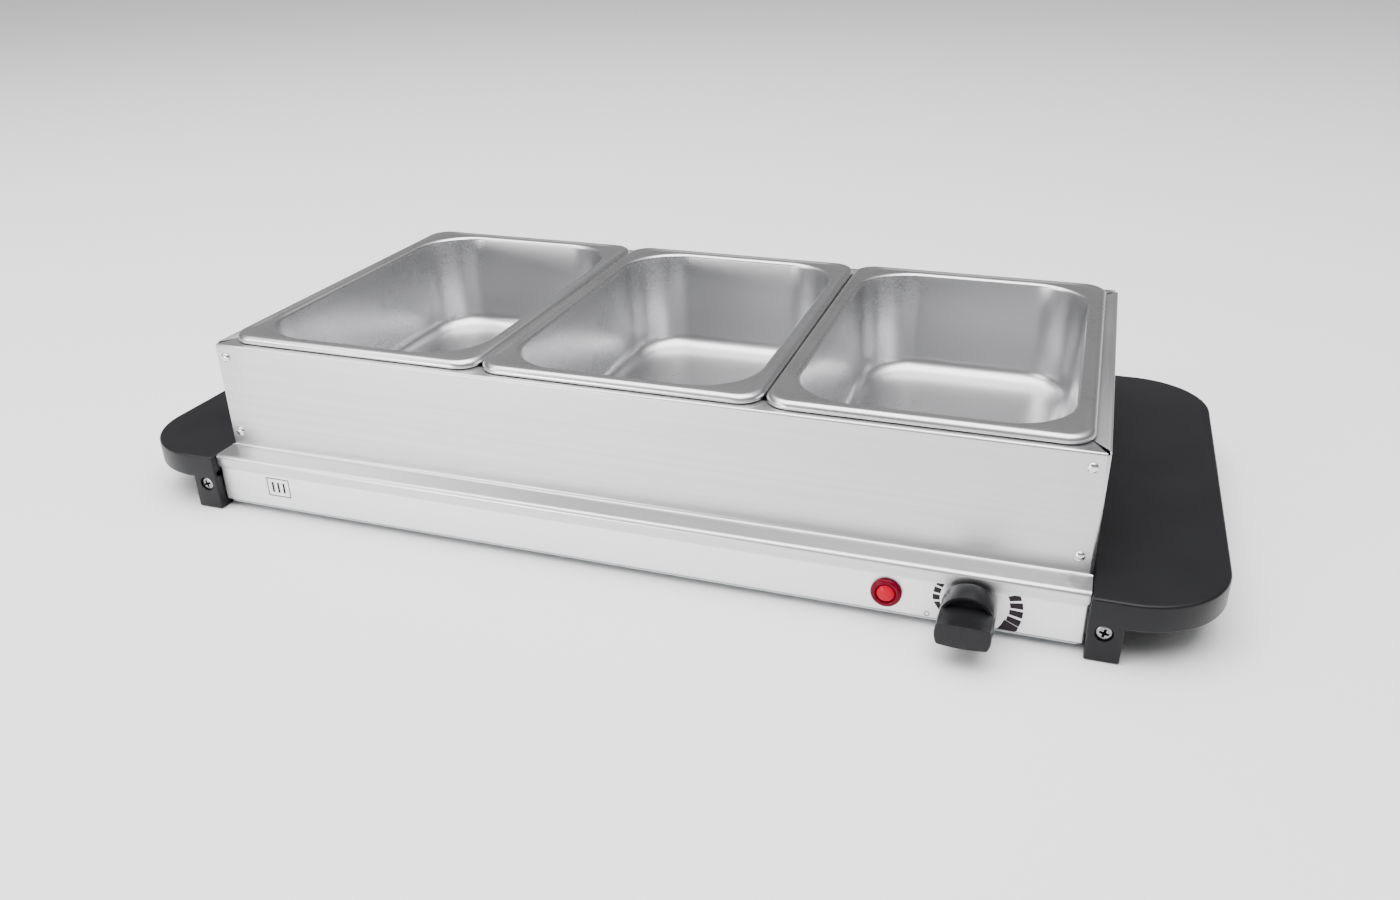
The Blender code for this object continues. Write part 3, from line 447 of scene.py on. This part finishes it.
# Base --------------------------------------------------------------------------------------
def make_base_shell():
    """Folded sheet with skirts and a return flange, holed for lamp, knob, gland and earth screw."""
    flange, fold = 0.014, 0.0016
    front, rear, depth = -HALF_BASE, HALF_BASE, 0.006
    bm = bmesh.new()
    add_box(bm, (-HALF_LENGTH, -HALF_BASE, shell_low.z), (HALF_LENGTH, HALF_BASE, shell_high.z))
    bmesh.ops.delete(bm, geom=[face for face in bm.faces if face.normal.z < -0.5], context="FACES")
    rim = [edge for edge in bm.edges if edge.is_boundary]
    folded = bmesh.ops.extrude_edge_only(bm, edges=rim)
    for vert in (item for item in folded["geom"] if isinstance(item, bmesh.types.BMVert)):
        vert.co.x -= math.copysign(flange, vert.co.x)
        vert.co.y -= math.copysign(flange, vert.co.y)
    bmesh.ops.recalc_face_normals(bm, faces=bm.faces)
    shell = new_object("hot_plate_body", mesh_from("hot_plate_body", bm))
    bevel(shell, fold, 5)
    thicken(shell)
    bake(shell)
    holes = bmesh.new()
    earth_x = GLAND_X + 0.030
    for x, y, z, radius in ((LAMP_X, front, LAMP_Z, 0.0064), (KNOB_X, front, KNOB_Z, 0.0047),
                            (GLAND_X, rear, GLAND_Z, 0.0077), (earth_x, rear, GLAND_Z, 0.0021)):
        add_rod(holes, (x, y, z), (0, 1, 0), radius, depth)
    boolean(shell, holes)
    finish_piece(shell, "base", "base", ("base_shell",))


def phillips_screw(name, head_radius, length):
    """A domed head with a cross recess, facing +Z, on a straight shank with a blunt point."""
    height, shank = SCREW_HEAD_HEIGHT, SCREW_SHANK_RADIUS
    edge = 0.35
    dome = [(head_radius * math.sin(angle), height * (edge + (1 - edge) * math.cos(angle)))
            for angle in (math.radians(9 * step) for step in range(1, 10))]
    profile = [(0, height), *dome, (head_radius, height * 0.18), (head_radius * 0.97, 0), (shank, 0),
               (shank, -length + shank), (shank * 0.4, -length), (0, -length)]
    screw = new_object(name, turned_mesh(name, profile, 48), (0, 0, 0))
    reach, half, floor = head_radius * 0.62, head_radius * 0.17, height * 0.14
    for turn in (0, math.pi / 2):
        bar = bmesh.new()
        add_box(bar, (-reach, -half, floor), (reach, half, height + 0.0002))
        for vert in bar.verts:
            if vert.co.z < height:
                vert.co.x *= 0.85
                vert.co.y *= 0.8
        bmesh.ops.rotate(bar, verts=bar.verts, cent=(0, 0, 0), matrix=Matrix.Rotation(turn, 3, "Z"))
        boolean(screw, bar)
    pit = bmesh.new()
    add_rod(pit, (0, 0, height * 0.4), (0, 0, 1), head_radius * 0.08, height * 1.4, 24,
            head_radius * 0.30)
    boolean(screw, pit)
    mesh = screw.data
    bpy.data.objects.remove(screw, do_unlink=True)
    return mesh


def make_handle_screws():
    mesh = phillips_screw("handle_screw", SCREW_HEAD_RADIUS, 0.011)
    seat = HALF_HANDLE - 0.0020
    turns = {("left", "front"): 20, ("left", "rear"): 65, ("right", "front"): -14, ("right", "rear"): 5}
    for (side, end), turn in turns.items():
        x = SCREW_X if side == "right" else -SCREW_X
        y, facing = (CENTRE_Y - seat, FRONT) if end == "front" else (CENTRE_Y + seat, REAR)
        screw = new_object(f"{side}_{end}_leg_screw", mesh.copy(), (x, y, SCREW_Z), facing)
        screw.rotation_euler.rotate_axis("Z", math.radians(turn))
        finish_piece(screw, "screw", "base", (f"{side}_{end}_handle_screw",))


def make_cover_screws():
    mesh = phillips_screw("cover_screw", 0.0030, 0.0065)
    x, y = COVER_SCREW.x, abs(COVER_SCREW.y - CENTRE_Y)
    for end, side_y in (("front", -1), ("rear", 1)):
        for side, side_x in (("left", -1), ("right", 1)):
            place = (side_x * x, CENTRE_Y + side_y * y, COVER_LOW - GAP)
            turn = (math.pi, 0, side_x * 0.5)
            screw = new_object(f"{end}_{side}_cover_screw", mesh.copy(), place, turn)
            finish_piece(screw, "bright", "base", (f"cover_screw_{end}_{side}",))


def make_lamp():
    """Rolled red ring and the domed jewel inside it."""
    place = (LAMP_X, BASE_FRONT, LAMP_Z)
    bezel = [(0.0052, 0.0022), (0.0055, 0.0026), (0.0061, 0.0028), (0.0069, 0.0027),
             (0.0076, 0.0022), (0.0079, 0.0015), (0.0080, 0.0009), (0.0080, GAP), (0.0059, GAP),
             (0.0059, -0.0150), (0.0052, -0.0150)]
    ring = new_object("lamp_ring", turned_mesh("lamp_ring", bezel, 64, closed=True), place, FRONT)
    finish_piece(ring, "bezel", "base", ("lamp_bezel",), 50)
    radius, seat, rise, back = 0.0049, 0.0014, 0.0023, -0.0010
    dome = [(radius * math.sin(angle), seat + rise * math.cos(angle))
            for angle in (math.radians(7.5 * step) for step in range(1, 13))]
    lens = [(0, seat + rise), *dome, (radius, back), (0, back)]
    jewel = new_object("lamp_jewel", turned_mesh("lamp_jewel", lens, 64), place, FRONT)
    finish_piece(jewel, "lens", "base", ("lamp_lens",), 50)


def make_gland():
    """Rubber grommet: ribbed collar outside, groove round the skirt sheet, lip inside."""
    profile = [(0.0038, 0.0065), (0.0042, 0.0064), (0.0056, 0.0064), (0.0061, 0.0058),
               (0.0064, 0.0046), (0.0066, 0.0046), (0.0067, 0.0040), (0.0070, 0.0040),
               (0.0073, 0.0033), (0.0085, 0.0029), (0.0092, 0.0024), (0.0095, 0.0017),
               (0.0095, GAP), (0.0073, GAP), (0.0073, -SHEET - GAP), (0.0092, -SHEET - GAP),
               (0.0088, -0.0030), (0.0082, -0.0040), (0.0042, -0.0040), (0.0038, -0.0036)]
    gland = new_object("cord_grommet", turned_mesh("cord_grommet", profile, 64, closed=True),
                       (GLAND_X, BASE_REAR, GLAND_Z), REAR)
    finish_piece(gland, "rubber", "base", ("cord_gland",), 45)


def make_handle(side, angle):
    """Moulded end handle, hollow below; built for the right end and turned for the left."""
    inner_x, outer_x, top_z = handle_low.x, handle_high.x, handle_high.z
    shelf, leg_width, leg_depth, wall, corner = 0.0150, 0.0165, 0.024, 0.0032, 0.046
    edge, leg_edge, inner_edge, past = 0.0030, 0.0009, 0.0015, 0.002
    recess_radius, recess_depth, bore_radius, bore_length = SCREW_HEAD_RADIUS + 0.0004, 0.0046, 0.0021, 0.014
    low_z = top_z - shelf
    outline = rounded_outline([(inner_x, -HALF_HANDLE, inner_edge), (outer_x, -HALF_HANDLE, corner),
                               (outer_x, HALF_HANDLE, corner), (inner_x, HALF_HANDLE, inner_edge)], 20)
    body = bmesh.new()
    prism(body, outline, low_z, top_z)
    bmesh.ops.recalc_face_normals(body, faces=body.faces)
    name = f"{side}_end_handle"
    handle = new_object(name, mesh_from(name, body), rotation=(0, 0, angle))
    bevel(handle, edge, 6)
    bake(handle)
    step_x, far_x, side_y = inner_x + leg_width + wall, outer_x - wall, HALF_HANDLE - wall
    radius = far_x - step_x - 0.001
    hollow = rounded_outline([(step_x, -side_y, 0.0005), (far_x, -side_y, radius),
                              (far_x, side_y, radius), (step_x, side_y, 0.0005)], 14)
    under = bmesh.new()
    prism(under, hollow, low_z - past, top_z - wall)
    boolean(handle, under)
    between = bmesh.new()
    add_box(between, (inner_x + wall, -HALF_HANDLE + leg_depth, low_z - past),
            (step_x + 0.004, HALF_HANDLE - leg_depth, top_z - wall))
    boolean(handle, between)
    for end in (-1, 1):
        leg = bmesh.new()
        near, far = sorted((end * HALF_HANDLE, end * (HALF_HANDLE - leg_depth)))
        add_box(leg, (inner_x, near, 0), (inner_x + leg_width, far, low_z + 0.006), leg_edge)
        boolean(handle, leg, "UNION")
        recess = bmesh.new()
        add_rod(recess, (SCREW_X, end * HALF_HANDLE, SCREW_Z), (0, 1, 0), recess_radius, recess_depth, 48)
        boolean(handle, recess)
        bore = bmesh.new()
        bore_y = end * (HALF_HANDLE - bore_length / 2)
        add_rod(bore, (SCREW_X, bore_y, SCREW_Z), (0, 1, 0), bore_radius, bore_length, 24)
        boolean(handle, bore)
    finish_piece(handle, "handle", "base", (f"{side}_handle",), 35)


def ring_sector(start, end, inner, outer, steps=6):
    """Outline between two angles, in degrees anticlockwise from +X; each radius is (start, end)."""
    shares = [step / steps for step in range(steps + 1)]

    def edge(radii, share):
        angle = math.radians(start + (end - start) * share)
        radius = radii[0] + (radii[1] - radii[0]) * share
        return radius * math.cos(angle), radius * math.sin(angle)

    return [edge(inner, share) for share in shares] + [edge(outer, share) for share in reversed(shares)]


def dial_outlines():
    """Blocks that grow clockwise, between a thin crescent at the low end and a wedge at the high end."""
    first, pitch, count, inner = 181.0, 12.56, 17, 0.0168
    outlines = [ring_sector(214, 189.5, (0.0164, 0.0168), (0.0172, 0.0198))]
    for block in range(count):
        centre, share = first - pitch * block, block / (count - 1)
        outer = 0.0202 + 0.0037 * share * share
        outlines.append(ring_sector(centre + 4.7, centre - 4.4, (inner, inner + 0.0004 * share),
                                    (outer, outer + 0.0002)))
    outlines.append(ring_sector(-25, -54, (0.0164, 0.0180), (0.0243, 0.0268)))
    return outlines


def make_print():
    """Dial blocks round the knob, the off ring and a plain three-bar warmth sign, as thin ink."""
    depth, proud = 0.00004, 0.00002
    bm = bmesh.new()
    floor_z, top_z = shell_low.z + 0.0009, LIP_LOW + 0.004
    dial_x, least_height = KNOB_X + 0.002, 0.0006
    for outline in dial_outlines():
        placed = [(dial_x + x, min(max(KNOB_Z + z, floor_z), top_z)) for x, z in outline]
        if max(z for x, z in placed) - min(z for x, z in placed) > least_height:
            prism(bm, placed, 0, depth)

    def bar(low_x, low_z, high_x, high_z):
        prism(bm, [(low_x, low_z), (high_x, low_z), (high_x, high_z), (low_x, high_z)], 0, depth)

    off_x, off_z, off_radius, off_line, parts = KNOB_X - 0.0205, shell_low.z + 0.0028, 0.0014, 0.00035, 32
    radii = ((off_radius - off_line,) * 2, (off_radius,) * 2)
    for part in range(parts):
        sector = ring_sector(360 * part / parts, 360 * (part + 1) / parts, *radii, steps=1)
        prism(bm, [(off_x + x, off_z + z) for x, z in sector], 0, depth)

    sign_x, sign_z, half_x, half_z, line = -0.2095, 0.0185, 0.0078, 0.0060, 0.0006
    left, right, bottom, top = sign_x - half_x, sign_x + half_x, sign_z - half_z, sign_z + half_z
    bar(left, bottom, right, bottom + line)
    bar(left, top - line, right, top)
    bar(left, bottom, left + line, top)
    bar(right - line, bottom, right, top)
    stripe_gap, half_stripe, half_height = 0.0038, 0.0007, 0.0033
    for x in (sign_x - stripe_gap, sign_x, sign_x + stripe_gap):
        bar(x - half_stripe, sign_z - half_height, x + half_stripe, sign_z + half_height)
    bmesh.ops.recalc_face_normals(bm, faces=bm.faces)
    ink = new_object("front_print", mesh_from("front_print", bm), (0, BASE_FRONT - proud, 0), FRONT)
    finish_piece(ink, "ink", "base")


# Knob --------------------------------------------------------------------------------------
def grip_swell(x):
    """How much thicker one side of the grip is at x than at its ends."""
    return 0.0009 * max(0.0, 1 - (x / KNOB_RADIUS) ** 2)


def cheek_cutter(half_grip, skirt, front):
    """What is cut away beside the grip: a dished wall whose plan follows the grip's swell."""
    clear, above, dish, slices = 0.0200, front + 0.002, 0.0007, 10
    side = [(half_grip - dish * math.sin(math.pi * step / slices), skirt + (front - skirt) * step / slices)
            for step in range(slices + 1)]
    side.append((half_grip + 0.0006, above))
    cutter = bmesh.new()
    columns = []
    for x in (clear * (step / 20 - 1) for step in range(41)):
        points = [(across + grip_swell(x), height) for across, height in side]
        points += [(clear, above), (clear, skirt)]
        columns.append([cutter.verts.new((x, across, height)) for across, height in points])
    for near, far in zip(columns, columns[1:]):
        for index in range(len(near)):
            after = (index + 1) % len(near)
            cutter.faces.new((near[index], near[after], far[after], far[index]))
    cutter.faces.new(columns[0])
    cutter.faces.new(columns[-1])
    return cutter


def pocket_cutter(half_grip, skirt):
    """The half-moon finger hollow beside the grip."""
    radius, depth = KNOB_RADIUS - 0.0016, 0.0034
    first = math.asin(half_grip / radius)
    outline = [(radius * math.cos(turn), radius * math.sin(turn))
               for turn in (first + (math.pi - 2 * first) * step / 24 for step in range(25))]
    reach = outline[0][0]
    outline += [(x, half_grip + grip_swell(x)) for x in (reach * (step / 8 - 1) for step in range(1, 16))]
    cutter = bmesh.new()
    prism(cutter, outline, skirt - depth, skirt + 0.0003)
    return cutter


def make_knob():
    """Round knob: a deep skirt, a full-width grip with dished sides and a hollow on each side."""
    radius, front, back, edge, half_grip = KNOB_RADIUS, KNOB_REACH, 0.0045, 0.0012, 0.0053
    skirt = back + 0.0132
    bore, hub, roof = 0.0031, 0.0100, back + 0.0030
    corner = [(radius - edge + edge * math.cos(turn), front - edge + edge * math.sin(turn))
              for turn in (math.radians(90 - 15 * step) for step in range(7))]
    profile = [(0, front + 0.0002), (radius * 0.5, front + 0.0001), *corner, (radius, back + 0.0005),
               (radius - 0.0005, back), (hub, back), (hub, roof), (bore, roof),
               (bore, skirt - 0.0040), (0, skirt - 0.0040)]
    knob = new_object("control_knob", turned_mesh("control_knob", profile, 96),
                      (KNOB_X, BASE_FRONT, KNOB_Z), FRONT)
    for turn in (0, math.pi):
        spin = Matrix.Rotation(turn, 3, "Z")
        for cutter in (cheek_cutter(half_grip, skirt, front), pocket_cutter(half_grip, skirt)):
            bmesh.ops.rotate(cutter, verts=cutter.verts, cent=(0, 0, 0), matrix=spin)
            boolean(knob, cutter)
    bevel(knob, 0.00035, 3, 35)
    bake(knob)
    finish_piece(knob, "knob", "knob", ("knob",), 30)


# Pan frame ---------------------------------------------------------------------------------
def half_length_at(y, z):
    """Half length of a long panel at a point of its section: mitred flange, wall, wider ledge."""
    wall = HALF_LENGTH - WALL_INSET
    if z > FRAME_TOP - 0.0002 and y > -HALF_FRAME:
        share = (y + HALF_FRAME) / FRONT_FLANGE
        return wall - share * (wall - (HALF_LENGTH - END_FLANGE - SHEET))
    if y > -HALF_FRAME - 0.0004:
        return wall
    lip_round = 0.0030
    drop = max(0.0, 1 - (z - LIP_LOW) / lip_round)
    return HALF_LENGTH - lip_round * (1 - math.sqrt(max(0.0, 1 - drop * drop)))


def finish_panel(name, bm, angle, material, node):
    """Thicken a folded surface into sheet and break its cut edges."""
    panel = new_object(name, mesh_from(name, bm), rotation=(0, 0, angle))
    thicken(panel)
    bevel(panel, 0.00015, 2, 60)
    bake(panel)
    finish_piece(panel, material, "frame", (node,))


def make_long_panel(name, angle, node):
    """Flange, wall, ledge and lip of one folded sheet; built for the front, turned for the rear."""
    columns, lip_rows = 24, (0.0030, 0.0022, 0.0015, 0.0009, 0.0004, 0.0001, 0)
    section = bent_path([(-HALF_FRAME + FRONT_FLANGE, FRAME_TOP), (-HALF_FRAME, FRAME_TOP),
                         (-HALF_FRAME, LEDGE_Z), (LEDGE_Y, LEDGE_Z), (LEDGE_Y, LIP_LOW + lip_rows[0])],
                        (0.0014, 0.0018, 0.0026), 8)
    section += [Vector((LEDGE_Y, LIP_LOW + height)) for height in lip_rows[1:]]
    bm = bmesh.new()
    rows = []
    for y, z in section:
        half = half_length_at(y, z)
        xs = (-half + 2 * half * column / columns for column in range(columns + 1))
        rows.append([bm.verts.new((x, y, z)) for x in xs])
    for upper, lower in zip(rows, rows[1:]):
        for column in range(columns):
            bm.faces.new((upper[column], lower[column], lower[column + 1], upper[column + 1]))
    finish_panel(name, bm, angle, "steel_x", node)


def make_end_panel(name, angle, node):
    """Wall with two tabs and a mitred top flange; built for the right end, turned for the left."""
    tab_y, tab_top, bend_steps = HALF_FRAME - SHEET - GAP, FRAME_TOP - 0.0016, 6
    plan = bent_path([(end_low.x, -tab_y), (HALF_LENGTH, -tab_y), (HALF_LENGTH, tab_y), (end_low.x, tab_y)],
                     (0.0020, 0.0020), bend_steps)
    bm = bmesh.new()
    low = [bm.verts.new((x, y, end_low.z)) for x, y in plan]
    high = [bm.verts.new((x, y, tab_top)) for x, y in plan]
    for index in range(len(plan) - 1):
        bm.faces.new((low[index], low[index + 1], high[index + 1], high[index]))
    before = high[bend_steps + 1:bend_steps + 3]
    wall_y, edge_y = before[1].co.y, HALF_FRAME - FRONT_FLANGE
    fold = bent_path([(HALF_LENGTH, tab_top), (HALF_LENGTH, FRAME_TOP),
                      (HALF_LENGTH - END_FLANGE, FRAME_TOP)], (0.0012,), 6)
    for x, z in fold[1:]:
        share = (HALF_LENGTH - x) / END_FLANGE
        half = wall_y + share * (edge_y - wall_y)
        row = [bm.verts.new((x, -half, z)), bm.verts.new((x, half, z))]
        bm.faces.new((before[0], before[1], row[1], row[0]))
        before = row
    finish_panel(name, bm, angle, "steel_y", node)


def make_rivets():
    """Domed heads outside, shanks through both sheets and small spread ends inside."""
    radius, rise, shank, tail = 0.0028, 0.0015, 0.0016, 0.0024
    inside, seat = -2 * SHEET - 2 * GAP, HALF_FRAME + GAP * 0.3
    dome = [(radius * math.sin(angle), rise * math.cos(angle))
            for angle in (math.radians(10 * step) for step in range(1, 10))]
    profile = [(0, rise), *dome, (shank, 0), (shank, inside - GAP), (tail, inside - GAP),
               (0.0020, inside - 0.0012), (0, inside - 0.0012)]
    mesh = turned_mesh("rivet", profile, 40)
    for side, sign_y, facing in (("front", -1, FRONT), ("rear", 1, REAR)):
        y = CENTRE_Y + sign_y * seat
        for end, sign_x in (("left", -1), ("right", 1)):
            for level, z in zip(("lower", "upper"), RIVET_ZS):
                place = (sign_x * RIVET_X, y, z)
                rivet = new_object(f"{side}_{end}_{level}_rivet", mesh.copy(), place, facing)
                finish_piece(rivet, "bright", "frame",
                             (f"rivet_{side}_{end}_{level}",), 50)


# Pans --------------------------------------------------------------------------------------
def pan_rings(rim_low, rim_top, floor_z):
    """Inset from the rim's outer edge, corner radius and height of each ring, outside to floor."""
    roll, mouth, outside_corner, dip = 0.0033, 0.0092, 0.0140, 0.0006
    rings = [(0.0009, 0.0130, rim_low + 0.0001), (0.0002, 0.0138, rim_low + 0.0003),
             (0, outside_corner, rim_low + 0.0007)]
    for step in range(8):
        angle = math.radians(90 * step / 7)
        inset = roll * (1 - math.cos(angle))
        rings.append((inset, outside_corner - inset * 0.7, rim_top - roll + roll * math.sin(angle)))
    bend, bend_inset = 0.0024, mouth - 0.0012
    rings += [(0.0042, 0.0130, rim_top - 0.00008), (0.0052, 0.0165, rim_top - 0.00045),
              (0.0062, 0.0215, rim_top - dip), (bend_inset, 0.0340, rim_top - dip)]
    for step in range(1, 8):
        angle = math.radians(88 * step / 7)
        run = bend * math.sin(angle)
        rings.append((bend_inset + run, 0.0360 - run * 0.6, rim_top - dip - bend * (1 - math.cos(angle))))
    foot = 0.0100
    wall_start, wall_end = mouth + 0.0013, mouth + 0.0048
    wall_top, wall_low = rim_top - 0.0032, floor_z + foot
    for step in range(1, 6):
        share = step / 5
        rings.append((wall_start + (wall_end - wall_start) * share, 0.0345 - 0.0025 * share,
                      wall_top + (wall_low - wall_top) * share))
    for step in range(1, 9):
        angle = math.radians(90 * step / 8)
        run = foot * (1 - math.cos(angle))
        rings.append((wall_end + run, 0.0320 - run * 0.9, floor_z + foot * (1 - math.sin(angle))))
    rings += [(wall_end + 0.016, 0.0170, floor_z), (wall_end + 0.030, 0.0100, floor_z)]
    return rings


def make_pan(body):
    """Pressed pan, lofted through its rings; body is also the name of the pan's CAD node."""
    low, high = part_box(body)
    half_x, half_y = (high.x - low.x) / 2, (high.y - low.y) / 2
    floor_z = low.z + SHEET
    bm = bmesh.new()
    loops = []
    for inset, radius, height in pan_rings(FRAME_TOP + GAP, high.z, floor_z):
        outline = rectangle(half_x - inset, half_y - inset, radius)
        loops.append([bm.verts.new((point.x, point.y, height)) for point in outline])
    count = len(loops[0])
    for outer, inner in zip(loops, loops[1:]):
        for index in range(count):
            after = (index + 1) % count
            bm.faces.new((outer[index], outer[after], inner[after], inner[index]))
    bm.faces.new(loops[-1])
    name = body + "_pressing"
    pan = new_object(name, mesh_from(name, bm), (middle(body).x, CENTRE_Y, 0))
    thicken(pan, PAN_SHEET)
    bake(pan)
    finish_piece(pan, "pan", body, (body,), 45)


# CAD nodes that stay -----------------------------------------------------------------------
def dress_cad_nodes():
    """Dress the CAD's own pieces, which stay inside and under the base."""
    looks = {
        "galvanised": ("bottom_cover", "heat_tray", "lamp_clip"),
        "aluminium": ("heat_spreader",),
        "sheath": ("heating_element",),
        "ceramic": ("thermostat_body", "terminal_block"),
        "glass": ("neon_bulb",),
        "bright": ("thermostat_nut", "thermostat_shaft", "earth_screw", "thermal_cutout"),
        "brown": ("live_wire", "switched_wire", "cutout_wire"),
        "blue": ("neutral_wire", "lamp_wire"),
        "green": ("earth_wire",),
    }
    look_of = {name: look for look, names in looks.items() for name in names}
    for name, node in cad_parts.items():
        if name.startswith("element_clamp") or name.endswith("_lug"):
            look_of[name] = "galvanised"
        if name in look_of:
            node.data.materials.clear()
            node.data.materials.append(MATERIALS[look_of[name]])


# Studio ------------------------------------------------------------------------------------
def make_floor():
    bm = bmesh.new()
    bmesh.ops.create_grid(bm, x_segments=2, y_segments=2, size=6.0)
    floor = new_object("studio_floor", mesh_from("studio_floor", bm), (0, 0, -0.0002))
    floor.data.materials.append(floor_material())


def area_light(name, place, target, size, power):
    data = bpy.data.lights.new(name, "AREA")
    data.shape = "RECTANGLE"
    data.size, data.size_y = size
    data.energy = power
    light = bpy.data.objects.new(name, data)
    bpy.context.scene.collection.objects.link(light)
    light.location = place
    light.rotation_euler = (Vector(target) - Vector(place)).to_track_quat("-Z", "Y").to_euler()


def make_studio():
    """Floor, a world that is darkest near the horizon, and three soft lights."""
    make_floor()
    world = bpy.data.worlds.new("studio")
    world.use_nodes = True
    tree = world.node_tree
    place = tree.nodes.new("ShaderNodeTexCoord")
    split = tree.nodes.new("ShaderNodeSeparateXYZ")
    ramp = tree.nodes.new("ShaderNodeValToRGB")
    levels = ((0.0, 0.80), (0.10, 0.34), (0.50, 0.16), (0.70, 0.80), (1.0, 1.30))
    blue_cast = 1.01
    while len(ramp.color_ramp.elements) < len(levels):
        ramp.color_ramp.elements.new(0.5)
    for element, (position, level) in zip(ramp.color_ramp.elements, levels):
        element.position = position
        element.color = (level, level, level * blue_cast, 1)
    tree.links.new(place.outputs["Generated"], split.inputs["Vector"])
    tree.links.new(split.outputs["Z"], ramp.inputs["Fac"])
    tree.links.new(ramp.outputs["Color"], tree.nodes["Background"].inputs["Color"])
    tree.nodes["Background"].inputs["Strength"].default_value = 1.0
    bpy.context.scene.world = world
    area_light("overhead", (-0.1, -0.2, 2.2), (0, 0, 0), (3.0, 2.4), 125)
    area_light("key_left", (-1.5, -1.3, 1.1), (0, 0, 0.05), (1.0, 0.8), 18)
    area_light("wall_sweep", (-0.72, -1.5, 0.13), (-0.10, -0.13, 0.05), (0.50, 0.20), 9)


def make_camera():
    """Above and to the right of the controls, looking down and to the left along the front."""
    data = bpy.data.cameras.new("camera")
    data.sensor_width = 36.0
    data.lens = 29.54
    data.clip_start = 0.02
    camera = bpy.data.objects.new("camera", data)
    bpy.context.scene.collection.objects.link(camera)
    camera.location = (0.2257, CENTRE_Y - 0.6305, 0.3342)
    camera.rotation_euler = [math.radians(angle) for angle in (64.035, 0.796, 18.712)]
    bpy.context.scene.camera = camera


MATERIALS = make_materials()
make_camera()
make_studio()
make_base_shell()
make_handle_screws()
make_cover_screws()
make_lamp()
make_gland()
make_handle("right", 0)
make_handle("left", math.pi)
make_print()
make_knob()
make_long_panel("front_wall", 0, "frame_front_panel")
make_long_panel("rear_wall", math.pi, "frame_rear_panel")
make_end_panel("right_wall", 0, "frame_right_end")
make_end_panel("left_wall", math.pi, "frame_left_end")
make_rivets()
for pan_body in ("pan_left", "pan_middle", "pan_right"):
    make_pan(pan_body)
dress_cad_nodes()
